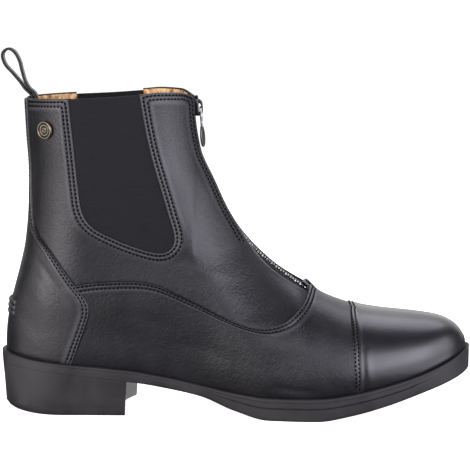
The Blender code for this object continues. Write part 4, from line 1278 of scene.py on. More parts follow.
# Vamp: the lower front of the boot, a separate piece of the same calf lapped over the quarters.
# Its top edge is folded and sewn with two rows, and rises to a peak over the foot of the zip.
LEATHER, BEDDED = 1.35, 0.2
FOOT_SINK, FOOT_LOWEST = 0.6, 0.38
FOOT_ROWS, PANEL_ROWS = [0, 0.3, 1.0], 60
COUNTER_EDGE = [
    Mark(19.2, 122.3),
    Mark(24.2, 106.9),
    Mark(32.8, 96.5),
    Mark(46.2, 77.9),
    Mark(52.6, 69.3),
    Mark(54.6, 62.2),
    Mark(52.7, 54.5),
    Mark(47.0, 38.9),
    Mark(42.0, 24.9),
]
VAMP_EDGE = [
    Mark(40.0, 77.1),
    Mark(61.0, 79.9),
    Mark(87.5, 79.9),
    Mark(108.0, 72.3),
    Mark(131.5, 60.9),
    Mark(146.0, 55.1),
    Mark(157.0, 53.3),
    Mark(169.0, 56.1),
    Mark(178.6, 63.5),
    Mark(183.4, 70.5),
    Mark(183.6, 73.8),
]
CAP_EDGE = [
    Mark(207.0, 80.9),
    Mark(207.8, 62.9),
    Mark(208.9, 44.2),
    Mark(210.8, 5.9),
]
VAMP_STITCHES = (1.7, 4.1)
PEAK_X = 180.0
PEAK_LIFT, PEAK_REACH = 2.4, 8.0
PEAK_MARGIN, PEAK_MARGIN_REACH = 4.0, 7.0


def above_rim(line):
    """The part of a side view line over the sole's rim."""
    return line[line[:, 1] > sole_rim(line[:, 0]) - 0.9]


def rim_line(first, last):
    """Turns and levels just inside the sole's rim, between two places along the foot."""
    x = np.linspace(first, last, 300)
    return on_upper(np.stack([x, sole_seat(x) + np.maximum(rim_crest(x) - FOOT_SINK, FOOT_LOWEST)], axis=1))


counter_line = spline(COUNTER_EDGE)
cap_line = spline(CAP_EDGE)
vamp_line = spline(VAMP_EDGE)
counter_front = above_rim(counter_line)
vamp_start = counter_front[:, 1] < np.interp(counter_front[:, 0], vamp_line[:, 0], vamp_line[:, 1])
vamp_back = on_upper(counter_front[vamp_start])
crossing = counter_front[vamp_start][0]
vamp_top = on_upper(vamp_line[vamp_line[:, 0] > crossing[0]])
vamp_top = np.concatenate([vamp_back[:1], vamp_top])
peak_step = np.interp(-PEAK_X, -fine_front_x[:-1], fine_steps)
peak = np.array([0.0, (peak_step / front_length) ** (1 / LEVEL_EASE)])
vamp_top = np.concatenate([vamp_top, mix(vamp_top[-1], peak, np.linspace(0, 1, 12)[1:, None])])
cap_side = above_rim(cap_line[cap_line[:, 1] < top_at(cap_line[:, 0])])
cap_edge = on_upper(cap_side)
cap_top_step = np.interp(-cap_side[0, 0], -fine_front_x[:-1], fine_steps)
cap_ridge = np.array([[0.0, (cap_top_step / front_length) ** (1 / LEVEL_EASE)]])
cap_edge = np.concatenate([cap_ridge, cap_edge])
vamp_foot = rim_line(counter_front[-1, 0], cap_side[-1, 0])
vamp_low = np.concatenate([vamp_foot, cap_edge[::-1]])
vamp_far, low_far = lengths(vamp_top), lengths(vamp_low)
vamp_places = spread(vamp_far[-1], [0, 0.3, 1.0], [0, 0.4, 1.2], 1.3)
foot_far = lengths(vamp_foot)[-1]
low_places = np.interp(vamp_places / vamp_far[-1], [0, 0.78, 1.0], [0, foot_far, low_far[-1]])
vamp_grid, from_top, from_low = ruled(
    pick(vamp_top, vamp_places), pick(vamp_low, low_places), EDGE_ROWS, FOOT_ROWS, PANEL_ROWS)
back_far = lengths(vamp_back)
back_pull = np.exp(-vamp_places / 14.0)[:, None]
share_down = from_top / np.maximum(from_top + from_low, TINY)
straight = np.stack([mix(vamp_grid[0, 0, k], vamp_grid[0, -1, k], share_down) for k in (0, 1)], axis=-1)
true_back = pick(vamp_back, share_down.ravel() * back_far[-1]).reshape(*share_down.shape, 2)
vamp_grid = vamp_grid + (true_back - straight) * back_pull[..., None]
vamp_grid = np.clip(vamp_grid, [0, 0], [math.pi, 1])
VAMP_CREASES = [
    Crease(160, 40, 168, 20, 1.5, 2.6, 0.12),
    Crease(172, 42, 178, 19, 1.2, 2.2, 0.12),
    Crease(182, 40, 187, 18, 1.0, 2.0, 0.12),
    Crease(191, 36, 195, 19, 0.8, 2.0, 0.1),
    Crease(150, 36, 158, 19, 1.2, 2.4, 0.1),
    Crease(160, 20.2, 190, 17.6, -0.6, 2.0, 0.5),
    Crease(166, 62, 178, 44, 2.0, 4.5, -0.45),
    Crease(186, 58, 200, 47, 1.5, 3.0, 0.28),
    Crease(152, 42, 196, 43, 1.5, 6.5, -0.4),
    Crease(70, 62, 110, 50, 2.0, 4.0, 0.25),
    Crease(100, 46, 140, 34, 1.5, 4.0, 0.25),
]
place = upper_surface(vamp_grid[..., 0], vamp_grid[..., 1])
vamp_out = LEATHER + creased(VAMP_CREASES, place[..., 0], place[..., 2])
to_peak = np.linalg.norm(place - place[-1, 0], axis=-1)
peak_margin = PEAK_MARGIN * np.exp(-(to_peak / PEAK_MARGIN_REACH) ** 2)
vamp_relief, vamp_seam, vamp_fold = sewn_edge(from_top - peak_margin, VAMP_STITCHES)
peak_lift = PEAK_LIFT * np.exp(-(to_peak / PEAK_REACH) ** 2)
vamp_under = 0.02 + 0.1 * peak_lift
# The vamp's sewn edge is painted paler as painted highlight, more towards the front and most at the peak.
PEAK_HIGHLIGHT_REACH = 8.0
peak_highlight_paint = np.exp(-(to_peak / PEAK_HIGHLIGHT_REACH) ** 2) * (1 - ease(1.6, 2.6, from_top))
vamp_fold = np.maximum(mix(0.2, 0.7, ease(100, 150, place[..., 0])) * vamp_fold, peak_highlight_paint)
vamp_out = mix(vamp_under, vamp_out + vamp_relief + peak_lift, round_end(from_top / 0.8))


def both_sides(grid, *layers):
    """A half grid carried over the ridge to the other side, with its distances from the leather."""
    whole = np.concatenate([grid, mirrored_grid(grid)[::-1][1:]])
    return (whole, *[np.concatenate([layer, layer[::-1][1:]]) for layer in layers])


def mirrored_grid(grid):
    return np.stack([-grid[..., 0], grid[..., 1]], axis=-1)


def panel(name, grid, out, seam, fold, under=0.02, flex=None, material=calf, sharp=60):
    """A leather panel on the upper from a grid, its height over the plain upper and its marks."""
    outer = upper_point(grid[..., 0], grid[..., 1], out)
    inner = upper_point(grid[..., 0], grid[..., 1], np.minimum(under + 0 * out, out))
    marks = {"seam": np.append(seam, 0 * seam), "fold": np.append(fold, 0 * fold)}
    if flex is not None:
        marks["flex"] = np.append(flex, 0 * flex)
    made = add_piece(name, *sheet_solid(outer, inner), [material], sharp=sharp, marks=marks)
    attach(made, "boot")
    return made


BALL, BALL_LONG, BALL_TALL = Mark(172.0, 30.0), 30.0, 17.0
vamp_flex = np.exp(-((place[..., 0] - BALL.x) / BALL_LONG) ** 2 - ((place[..., 2] - BALL.z) / BALL_TALL) ** 2)
vamp = panel("vamp_panel", *both_sides(vamp_grid, vamp_out, vamp_seam, vamp_fold, vamp_under, vamp_flex))
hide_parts("vamp")
vamp_rows = []
for row in VAMP_STITCHES:
    line = along_rows(vamp_grid, from_top - peak_margin, row)
    whole = np.concatenate([line, mirrored(line, -1)[::-1][1:]])
    places, normals = row_on_upper(whole, LEATHER - BEDDED)
    reach = np.linalg.norm(places - place[-1, 0], axis=1)
    vamp_rows.append((places + normals * PEAK_LIFT * np.exp(-(reach / PEAK_REACH) ** 2)[:, None], normals))
sew("vamp_stitches", vamp_rows)


# Toe cap: a polished piece of calf over a stiffened toe, lapped on the vamp.
# Its straight back edge is sewn down with two close rows that stop at the sole.
CAP_LEATHER = 1.75
CAP_STITCHES = (0.9, 3.1)
polished = make_leather("polished_calf", BLACK_DARK, BLACK_LIGHT, 0.32, 0.40, 0.0002, 0.6, 0.28)
cap_back = np.concatenate([cap_edge[::-1], mirrored(cap_edge, -1)[1:]])
toe_foot = rim_line(cap_side[-1, 0], SOLE_LENGTH - UPPER_INSET - 0.45)
toe_foot = np.concatenate([toe_foot, [[0.0, toe_foot[-1, 1]]]])
cap_rim = np.concatenate([toe_foot, mirrored(toe_foot, -1)[::-1][1:]])
CAP_STATIONS = 170
cap_line_far, cap_rim_far = lengths(cap_back)[-1], lengths(cap_rim)[-1]
station = np.linspace(0.004, 0.996, CAP_STATIONS)
cap_grid, from_cap, _ = ruled(
    pick(cap_back, station * cap_line_far), pick(cap_rim, station * cap_rim_far),
    EDGE_ROWS, FOOT_ROWS, PANEL_ROWS)
cap_relief, cap_seam, cap_fold = sewn_edge(from_cap, CAP_STITCHES)
cap_out = CAP_LEATHER + cap_relief
CAP_CREASES = [Crease(216.3, 41, 218.3, 18, 0.6, 2.2, -0.5)]
place = upper_surface(cap_grid[..., 0], cap_grid[..., 1])
cap_out = cap_out + creased(CAP_CREASES, place[..., 0], place[..., 2])
cap_out = mix(0.3, cap_out, round_end(from_cap / 0.6))
toe_cap = panel("toe_cap_panel", cap_grid, cap_out, cap_seam, 0.3 * cap_fold, under=0.25, material=polished)
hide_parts("toe_cap")
sew("toe_cap_stitches", [
    row_on_upper(along_rows(cap_grid, from_cap, row)[4:-4], CAP_LEATHER - BEDDED) for row in CAP_STITCHES])


# Heel counter and backstay: one piece of calf round the heel over a stiffener, drawn up the back
# seam as a narrow stay to the collar. Its front edge is folded and sewn with two rows.
Stay = namedtuple("Stay", "z half")
BACKSTAY = [
    Stay(92.9, 22.0),
    Stay(106.9, 18.5),
    Stay(118.9, 12.0),
    Stay(130.9, 8.6),
    Stay(145.9, 7.6),
    Stay(166.9, 9.0),
    Stay(200.9, 11.5),
]
COUNTER_STITCHES = (1.5, 3.6)
COUNTER_LEATHER = 1.6
stay_half = smooth_curve([row.z for row in BACKSTAY], [row.half for row in BACKSTAY])
JOIN_Z = 112.0
counter_side = counter_front[::-1]
counter_side = counter_side[counter_side[:, 1] < JOIN_Z]
stay_z = np.linspace(JOIN_Z + 4, COLLAR_BACK_Z, 60)


def stay_turn(z, half):
    """Turn and level where the upper's back is as wide as the stay."""
    foot_back = feather(back_line(BACK[0].z))
    level = np.full(200, (z - foot_back) / (COLLAR_BACK_Z - foot_back))
    turns = np.linspace(math.pi, 1.7, 200)
    wide = np.abs(upper_surface(turns, level)[:, 1])
    return np.interp(half, np.maximum.accumulate(wide), turns), level[0]


stay_edge = np.array([stay_turn(z, float(stay_half(z))) for z in stay_z])
counter_edge = np.concatenate([on_upper(counter_side), stay_edge])
counter_far = lengths(counter_edge)
counter_places = spread(counter_far[-1], [0, 0.3, 1.0], [0, 0.3, 0.8, 1.6], 1.3)
outer_line = pick(counter_edge, counter_places)
foot_level = on_upper(np.array([[back_line(36.0) + 0.01, sole_rim(back_line(36.0)) - FOOT_SINK]]))[0, 1]
spine = np.stack([np.full(len(counter_places), math.pi), np.interp(
    counter_places, [0, counter_far[-1]], [foot_level, 1.0])], axis=1)
up_stay = ease(0.3, 0.8, counter_places / counter_far[-1])
spine[:, 1] = mix(spine[:, 1], np.maximum(outer_line[:, 1], foot_level), up_stay)
counter_grid, from_counter, _ = ruled(outer_line, spine, EDGE_ROWS, [0, 0.5], 40)
COUNTER_CREASES = [
    Crease(24, 93, 42, 64, 1.2, 2.2, 0.45),
    Crease(17, 84, 34, 52, 1.5, 6.0, -0.55),
    Crease(40, 76, 49, 62, 0.8, 3.0, -0.35),
    Crease(12, 62, 26, 44, 1.0, 3.5, 0.25),
]
place = upper_surface(counter_grid[..., 0], counter_grid[..., 1])
counter_out = COUNTER_LEATHER + creased(COUNTER_CREASES, place[..., 0], place[..., 2])
counter_relief, counter_seam, counter_fold = sewn_edge(from_counter, COUNTER_STITCHES)
counter_out = mix(0.02, counter_out + counter_relief, round_end(from_counter / 0.8))
top_edge = (counter_far[-1] - counter_places)[:, None]
counter_out = counter_out - edge_drop(top_edge, 0.7)


def round_back(layer):
    """A grid's layer carried round the back seam to the other side."""
    return np.concatenate([layer, layer[:, ::-1][:, 1:]], axis=1)


counter_whole = round_back(counter_grid)
past = counter_grid.shape[1]
counter_whole[:, past:, 0] = 2 * math.pi - counter_whole[:, past:, 0]
counter_layers = [round_back(layer) for layer in (counter_out, counter_seam, counter_fold)]
counter = panel("counter_panel", counter_whole, *counter_layers)
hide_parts("heel_counter")
counter_rows = []
for row in COUNTER_STITCHES:
    line = along_rows(counter_grid, from_counter, row)
    counter_rows.append(row_on_upper(line[3:-3], COUNTER_LEATHER - BEDDED))
    counter_rows.append(row_on_upper(mirrored(line[3:-3], -1), COUNTER_LEATHER - BEDDED))
sew("counter_stitches", counter_rows)


# Spur rest: a small stacked ledge of leather welts across the back of the heel, for a spur's strap.
# It is sewn and cemented on the counter.
SPUR_HALF = 13.0
SPUR_LOW, SPUR_HIGH = 57.4, 66.9
SPUR_THICK = 1.5
SPUR_WELTS = 3
spur_share = np.linspace(0, 1, 60)
spur_across = np.linspace(-1, 1, 50)
spur_turn = stay_turn((SPUR_LOW + SPUR_HIGH) / 2, SPUR_HALF)[0]
spur_levels = np.array([stay_turn(z, SPUR_HALF)[1] for z in mix(SPUR_LOW, SPUR_HIGH, spur_share)])
spur_grid = np.stack(np.broadcast_arrays(
    math.pi + (math.pi - spur_turn) * spur_across[None, :], spur_levels[:, None]), axis=-1)
welt = np.abs(np.sin(spur_share * SPUR_WELTS * math.pi)) ** 0.6
spur_height = COUNTER_LEATHER + mix(0.3, SPUR_THICK, welt) * mix(0.45, 1.15, spur_share)
spur_out = spur_height[:, None] * np.ones(len(spur_across))[None, :]
spur_out = mix(COUNTER_LEATHER, spur_out, round_end((1 - np.abs(spur_across)) / 0.12)[None, :])
# The grooves between the welts are painted dark as painted shade, and the welts' crests painted paler as
# painted highlight.
spur_groove_shade = np.broadcast_to(np.exp(-(welt / 0.35) ** 2)[:, None], spur_out.shape)
spur_crest_highlight = np.broadcast_to(0.08 * (welt[:, None] > 0.85), spur_out.shape)
spur = panel("spur_ledge", spur_grid, spur_out, spur_groove_shade, spur_crest_highlight, under=COUNTER_LEATHER - 0.1)
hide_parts("spur_rest")


# Zip: two black woven tapes sewn behind the quarters' front edges, with a chain of dark metal teeth
# clenched on them. The chain runs from the collar to the vamp's peak.
TAPE_DEPTH = 1.0
TAPE_HOLLOW = 0.5
TAPE_THICK = 0.9
TEETH_PITCH, TOOTH_BEVEL = 1.75, 0.12
CHAIN_FOOT, CHAIN_TOP = 5.0, 1.5
TEETH_SINK_FOOT, TEETH_SINK_TOP, TEETH_SINKING = 1.05, 2.1, (14.0, 46.0)
WEB_DARK, WEB_LIGHT = (0.004, 0.004, 0.0044), (0.012, 0.012, 0.013)
webbing, webbing_shader = new_material("zip_webbing", WEB_DARK, Roughness=0.8, Specular_IOR_Level=0.25)
web_weave = place_group(webbing, weave, Across_scale=5200.0, Upward_scale=5200.0)
feed(webbing_shader, "Base Color", blend_colours(webbing, web_weave.outputs["Height"], WEB_DARK, WEB_LIGHT))
add_bump(webbing, webbing_shader, web_weave.outputs["Height"], 0.00018, 0.8)
METAL_DARK, METAL_LIGHT = (0.10, 0.098, 0.096), (0.62, 0.61, 0.60)
metal, metal_shader = new_material("dark_plated_metal", METAL_LIGHT, Metallic=1.0, Roughness=0.3)
metal_tone = place_group(metal, uneven_tone, Patch_scale=420.0, Speckle_scale=2600.0)
metal_colour = blend_colours(metal, metal_tone.outputs["Patches"], METAL_DARK, METAL_LIGHT, 0.35, 0.65)
feed(metal_shader, "Base Color", metal_colour)
feed(metal_shader, "Roughness", blend_values(metal, metal_tone.outputs["Speckle"], 0.22, 0.42, 0.3, 0.7))
TAPE_RIB_PITCH, TAPE_RIB_HEIGHT, TAPE_RIB_SLANT = 1.15, 0.11, 3.0
TAPE_UNDER_LIP, TAPE_TOP_SINK = 1.03, 0.4
TAPE_ALONG, TAPE_ACROSS = 560, 31
tape_rows = np.linspace(zip_foot_level - 0.004, 0.999, TAPE_ALONG)
tape_half = np.interp(tape_rows, zip_edge[:, 1], zip_edge[:, 0]) * TAPE_UNDER_LIP
tape_across = np.linspace(-1, 1, TAPE_ACROSS)
tape_turn = tape_half[:, None] * tape_across
tape_level = tape_rows[:, None] + 0 * tape_across
tape_far = lengths(np.stack([np.zeros(TAPE_ALONG), tape_rows], axis=1))[:, None]
tape_wave = tape_far * 2 * math.pi / TAPE_RIB_PITCH + TAPE_RIB_SLANT * np.abs(tape_across)
tape_ribs = TAPE_RIB_HEIGHT * np.cos(tape_wave)
tape_up = (tape_rows - zip_foot_level) / (1 - zip_foot_level)
tape_sink = ease(0.15, 0.45, tape_up)[:, None]
tape_edge_rise = np.where(tape_across > 0, LIP_RISE, INNER_LIP_RISE) * np.abs(tape_across) ** 1.5
tape_rise = tape_edge_rise * (1 - tape_sink)
tape_hollow = TAPE_HOLLOW * (1 - tape_across ** 2)
tape_out = -TAPE_DEPTH + tape_ribs - tape_hollow - TAPE_TOP_SINK * tape_sink + tape_rise
tape = add_piece("zip_tapes", *sheet_solid(
    upper_point(tape_turn, tape_level, tape_out),
    upper_point(tape_turn, tape_level, tape_out - TAPE_THICK)), [webbing], sharp=60)
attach(tape, "boot")
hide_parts("zip_tape")
Tooth = namedtuple("Tooth", "across along up")
TOOTH = [Tooth(2.5, 0.5, 0.0), Tooth(2.3, 0.55, 0.7), Tooth(1.2, 0.55, 1.15), Tooth(-0.3, 0.5, 1.25),
         Tooth(-0.9, 0.36, 1.0), Tooth(-1.1, 0.34, 0.35), Tooth(-0.9, 0.34, -0.1), Tooth(1.2, 0.45, -0.2)]
TOOTH_END = [(0, 1, 2, 7), (7, 2, 3, 6), (6, 3, 4, 5)]


def zip_frame(step):
    """A place on the zip's line, the way out and the way up."""
    place = np.array([front_line_x(step), 0.0, front_line_z(step)])
    place[1] = upper_middle(place[0], place[2])
    later, sooner = min(step + 1.5, front_length), step - 1.5
    up = np.array([front_line_x(later) - front_line_x(sooner), 0, front_line_z(later) - front_line_z(sooner)])
    up = unit(up)
    return place, np.array([up[2], 0.0, -up[0]]), up


teeth_points, teeth_quads = [], []
chain_steps = np.arange(zip_foot_step + CHAIN_FOOT, front_length - CHAIN_TOP, TEETH_PITCH)
count = len(TOOTH)
for i, step in enumerate(chain_steps):
    place, out, up = zip_frame(step)
    side = np.array([0, 1.0 if i % 2 else -1.0, 0])
    sink = mix(TEETH_SINK_FOOT, TEETH_SINK_TOP, ease(*TEETH_SINKING, step - zip_foot_step))
    start = 2 * count * i
    for end in (-1, 1):
        for row in TOOTH:
            teeth_points.append(place + side * row.across + up * end * row.along + out * (row.up - sink))
    teeth_quads += grid_quads(2, count, start, wrap=True).tolist()
    for first in (start, start + count):
        teeth_quads += [[first + corner for corner in face] for face in TOOTH_END]
teeth = add_piece("zip_teeth", teeth_points, teeth_quads, [metal], sharp=30)
soften = teeth.modifiers.new("worn_edges", "BEVEL")
soften.width = TOOTH_BEVEL * MM
soften.segments = 2
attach(teeth, "boot")
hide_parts("zip_chain")


# Slider: a die-cast metal shield that runs on the teeth, with an arched eye for the pull.
# It is plated dark and sits near the top, closed.
SLIDER_Z = 180.4
SLIDER_LONG, SLIDER_WIDE, SLIDER_UP = 12.4, 7.6, 1.2
SLIDER_TOP, SLIDER_CORNER = 1.7, 0.6
EYE_RISE = 2.5
EYE_REACH = 4.2
EYE_WIDE, EYE_THICK, EYE_LEG = 3.4, 0.9, 2.6
HINGE_OUT = SLIDER_TOP + EYE_RISE - 1.4
slider_step = np.interp(SLIDER_Z, fine_front_z[:-1], fine_steps)
slider_place, slider_out, slider_up = zip_frame(slider_step)
SIDEWAYS = np.array([0.0, 1.0, 0.0])
GUN_DARK, GUN_WORN = (0.07, 0.07, 0.072), (0.20, 0.195, 0.19)
gunmetal, gunmetal_shader = new_material("gunmetal", GUN_DARK, Metallic=1.0, Roughness=0.34)
gun_tone = place_group(gunmetal, uneven_tone, Patch_scale=300.0, Speckle_scale=3000.0)
gun_wear = add_node(gunmetal.node_tree, "ShaderNodeAttribute", attribute_name="fold")
feed(gunmetal_shader, "Base Color", blend_colours(gunmetal, gun_wear.outputs["Fac"], GUN_DARK, GUN_WORN))
feed(gunmetal_shader, "Roughness", blend_values(gunmetal, gun_tone.outputs["Speckle"], 0.26, 0.44, 0.3, 0.7))


def reached(place, *moves):
    """Places reached from a start by going some amount along each of several ways."""
    for amount, way in moves:
        place = place + np.asarray(amount)[..., None] * way
    return place


def at_slider(out, aside, up):
    return reached(slider_place, (out, slider_out), (aside, SIDEWAYS), (up, slider_up))


def shouldered(wave, power):
    """A wave from -1 to 1 with its sign kept and its shoulders squared."""
    return np.sign(wave) * np.abs(wave) ** power


def shield(shrink, count=64):
    """The slider's plan: wide and round at the top, narrow at the bottom."""
    turn = turns_round(count)
    up = shouldered(np.sin(turn), SLIDER_CORNER)
    across = shouldered(np.cos(turn), SLIDER_CORNER)
    half = mix(0.6, 1.0, ease(-0.9, 0.35, up)) * (1 - 0.12 * ease(0.6, 1.0, up))
    return across * (half * SLIDER_WIDE / 2 - shrink), SLIDER_UP + up * (SLIDER_LONG / 2 - shrink)


Step = namedtuple("Step", "shrink out")
SLIDER_STEPS = [
    Step(0.9, -0.5),
    Step(0.1, -0.4),
    Step(0.0, 0.3),
    Step(0.0, 1.0),
    Step(0.12, 1.35),
    Step(0.4, 1.58),
    Step(0.9, 1.7),
    Step(1.5, 1.7),
    Step(1.75, 1.55),
    Step(2.3, 1.52),
]


def plate_rows(plan, steps, place):
    return [place(np.full(len(plan(0)[0]), step.out), *plan(step.shrink)) for step in steps]


def swept(line, normals, wide, thick, corner=0.35):
    """Rows of a strap with rounded edges along a line, its thickness given at each row."""
    turn = turns_round(20)
    across = shouldered(np.cos(turn), corner) * wide / 2
    out = shouldered(np.sin(turn), corner) / 2
    return [place + across[:, None] * SIDEWAYS + out[:, None] * deep * normal
            for place, normal, deep in zip(line, normals, thick)]


slider_body = add_lofted("slider_shield", plate_rows(shield, SLIDER_STEPS, at_slider), gunmetal)
arch = np.linspace(0, math.pi, 25)
arch_out = SLIDER_TOP - 0.4 + (EYE_RISE + 0.1 - EYE_THICK / 2 + 0.3) * np.sin(arch) ** 0.75
arch_up = -(EYE_REACH - EYE_THICK / 2) * np.cos(arch)
arch_line = at_slider(arch_out, np.zeros(25), arch_up)
ahead = np.gradient(arch_line, axis=0)
arch_normals = unit(np.cross(ahead, SIDEWAYS))
arch_thick = mix(EYE_THICK, EYE_LEG, np.cos(arch) ** 2)
slider_eye = add_lofted("slider_eye", swept(arch_line, arch_normals, EYE_WIDE, arch_thick), gunmetal)
for piece in (slider_body, slider_eye):
    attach(piece, "boot")
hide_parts("zip_slider")


# Zip pull: a wire link through the slider's eye and an oval stamped tab hung on it.
# The tab is darker than the link, with a raised rim that has worn bright.
PULL_LONG, PULL_WIDE = 23.7, 6.6
PULL_LEAN = math.radians(4.0)
LINK_HALF, LINK_LONG, LINK_WIRE, LINK_CORNER = 1.75, 12.2, 0.75, 0.55
LINK_POINTS, WIRE_POINTS = 72, 12
TAB_TOP, TAB_CORNER, TAB_POINTS = 10.4, 0.75, 72
TAB_TWIST = math.radians(-20.0)
hinge = at_slider(HINGE_OUT, 0.0, 0.0)
pull_down = np.array([math.sin(PULL_LEAN), 0.0, -math.cos(PULL_LEAN)])
pull_out = np.array([math.cos(PULL_LEAN), 0.0, math.sin(PULL_LEAN)])


def at_pull(out, aside, down):
    return reached(hinge, (out, pull_out), (aside, SIDEWAYS), (down, pull_down))


def at_tab(out, aside, down):
    """A place on the tab, which hangs turned a little on its link."""
    out, aside = np.asarray(out), np.asarray(aside)
    return at_pull(out * math.cos(TAB_TWIST) - aside * math.sin(TAB_TWIST),
                   out * math.sin(TAB_TWIST) + aside * math.cos(TAB_TWIST), down)


link_turn = turns_round(LINK_POINTS)
link_aside = LINK_HALF * shouldered(np.cos(link_turn), LINK_CORNER)
link_down = LINK_LONG / 2 * (1 - shouldered(np.sin(link_turn), LINK_CORNER))
link_line = at_pull(np.zeros(LINK_POINTS), link_aside, link_down)
link_ahead = np.roll(link_line, -1, axis=0) - np.roll(link_line, 1, axis=0)
link_beside = unit(np.cross(link_ahead, pull_out))
wire = turns_round(WIRE_POINTS)[:, None]
link_rows = [place + LINK_WIRE * (np.cos(wire) * beside + np.sin(wire) * pull_out)
             for place, beside in zip(link_line, link_beside)]
link_quads = grid_quads(LINK_POINTS + 1, WIRE_POINTS, wrap=True) % (LINK_POINTS * WIRE_POINTS)
link = add_piece("pull_link", np.concatenate(link_rows), link_quads, [metal], sharp=180)


def tab_plan(shrink):
    """The tab's oval plan, narrower towards the link."""
    turn = turns_round(TAB_POINTS)
    down = mix(TAB_TOP, PULL_LONG, 0.5) - (PULL_LONG - TAB_TOP - 2 * shrink) / 2 * np.cos(turn)
    half = mix(0.72, 1.0, ease(TAB_TOP, TAB_TOP + 7, down)) * PULL_WIDE / 2
    return (half - shrink) * shouldered(np.sin(turn), TAB_CORNER), down


TAB_FACE = [
    Step(0.06, 0.3),
    Step(0.3, 0.55),
    Step(0.75, 0.64),
    Step(1.15, 0.58),
    Step(1.5, 0.34),
    Step(2.0, 0.32),
]
TAB_STEPS = [Step(row.shrink, -row.out) for row in TAB_FACE[::-1]] + [Step(0.0, 0.0)] + TAB_FACE
rim_worn = np.repeat([0.2 < step.shrink < 1.2 for step in TAB_STEPS], TAB_POINTS)
tab = add_lofted("pull_tab", plate_rows(tab_plan, TAB_STEPS, at_tab), gunmetal, marks={"fold": rim_worn})
for piece in (link, tab):
    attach(piece, "zip_pull")
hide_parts("zip_pull")


# Pull loop: a strap of calf folded double, edge-sewn and caught in the collar behind the backstay.
# It stands up in a long loop for a finger or a boot hook.
LOOP_WIDE, LOOP_THICK = 10.0, 1.4
STRAP_ROW, STRAP_ROW_WIDE, STRAP_ROW_BED, STRAP_STITCH = 0.78, 0.06, 0.36, 0.18
STRAP_PLY, STRAP_PLY_PALE = 0.1, 0.05
LOOP = [
    Mark(22.7, 175.0),
    Mark(22.1, 187.4),
    Mark(18.0, 192.2),
    Mark(15.6, 196.6),
    Mark(13.8, 203.0),
    Mark(12.6, 207.9),
    Mark(9.9, 213.1),
    Mark(6.4, 215.3),
    Mark(3.4, 213.9),
    Mark(2.5, 210.7),
    Mark(4.2, 205.9),
    Mark(8.6, 200.9),
    Mark(12.8, 195.9),
    Mark(15.8, 191.7),
    Mark(19.5, 187.9),
    Mark(20.4, 183.9),
    Mark(20.9, 175.0),
]
STRAP_SECTION = [
    Step(0.0, 0.5),
    Step(0.12, 0.49),
    Step(0.3, 0.5),
    Step(0.62, 0.5),
    Step(0.78, 0.42),
    Step(0.9, 0.5),
    Step(0.97, 0.42),
    Step(1.0, 0.24),
    Step(0.985, 0.06),
]
loop_line = spline(LOOP, parts=10)
ahead = unit(np.gradient(loop_line, axis=0))
loop_normals = np.stack([-ahead[:, 1], 0 * ahead[:, 0], ahead[:, 0]], axis=1)
loop_middle = np.stack([loop_line[:, 0], np.zeros(len(loop_line)), loop_line[:, 1]], axis=1)
quarter_section = np.array(STRAP_SECTION)
section = np.concatenate([
    quarter_section, quarter_section[::-1] * [1, -1], (quarter_section * [-1, -1])[1:],
    (quarter_section[::-1] * [-1, 1])[:-1]])
strap_rows = [place + section[:, :1] * SIDEWAYS * LOOP_WIDE / 2 + section[:, 1:] * normal * LOOP_THICK
              for place, normal in zip(loop_middle, loop_normals)]
strap_aside, strap_deep = np.abs(section).T
# The seam mark paints shade along the stitch rows and darkens the strap's cut edges, which are dyed matte
# black; the fold mark paints the line between the plies paler.
strap_fold = STRAP_PLY_PALE * (strap_deep < STRAP_PLY)
strap_edge = ease(0.8, 0.95, strap_aside) * (strap_deep > STRAP_PLY)
strap_seam = np.clip(np.exp(-((strap_aside - STRAP_ROW) / STRAP_ROW_WIDE) ** 2) + strap_edge, 0, 1)
strap_marks = {"fold": np.tile(strap_fold, len(strap_rows)), "seam": np.tile(strap_seam, len(strap_rows))}
strap = add_lofted("pull_strap", strap_rows, calf, sharp=70, marks=strap_marks)
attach(strap, "boot")
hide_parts("pull_loop")
sewn_part = slice(12, -12)
strap_sewing = []
for side in (-1, 1):
    line = loop_middle[sewn_part] + side * STRAP_ROW * LOOP_WIDE / 2 * SIDEWAYS
    for face in (-1, 1):
        normals = face * loop_normals[sewn_part]
        strap_sewing.append((line + STRAP_ROW_BED * LOOP_THICK * normals, normals))
sew("pull_strap_stitches", strap_sewing, STRAP_STITCH)


# Stud: a stamped brass cap riveted through the quarter near the collar, patinated dark.
# Its face has plain rings and a beaded circle.
STUD = Mark(29.8, 168.7)
Turned = namedtuple("Turned", "radius height dark")
STUD_PROFILE = [
    Turned(4.4, -0.1, 0.8),
    Turned(4.85, 0.15, 0.5),
    Turned(5.0, 0.55, 0.2),
    Turned(5.0, 1.2, 0.1),
    Turned(4.85, 1.55, 0.0),
    Turned(4.55, 1.75, 0.0),
    Turned(4.2, 1.72, 0.1),
    Turned(3.95, 1.45, 0.7),
    Turned(3.75, 1.2, 1.0),
    Turned(3.45, 1.2, 1.0),
    Turned(3.2, 1.45, 0.5),
    Turned(2.95, 1.62, 0.0),
    Turned(2.6, 1.62, 0.0),
    Turned(2.35, 1.4, 0.6),
    Turned(2.1, 1.28, 1.0),
    Turned(1.7, 1.3, 1.0),
    Turned(1.45, 1.6, 0.2),
    Turned(1.15, 1.72, 0.0),
    Turned(0.8, 1.62, 0.7),
    Turned(0.45, 1.5, 1.0),
    Turned(0.25, 1.66, 0.4),
    Turned(0.0, 1.72, 0.2),
]
BEADS, BEAD_HEIGHT = 26, 0.16
BEAD_RING, BEAD_WIDE = 2.8, 0.3
STUD_AROUND = 156
STUD_SPREAD, STUD_PROUD = 1.07, 1.25
BRASS_DARK, BRASS_LIGHT = (0.035, 0.030, 0.022), (0.26, 0.225, 0.16)
brass, brass_shader = new_material("antique_brass", BRASS_LIGHT, Metallic=1.0, Roughness=0.34)
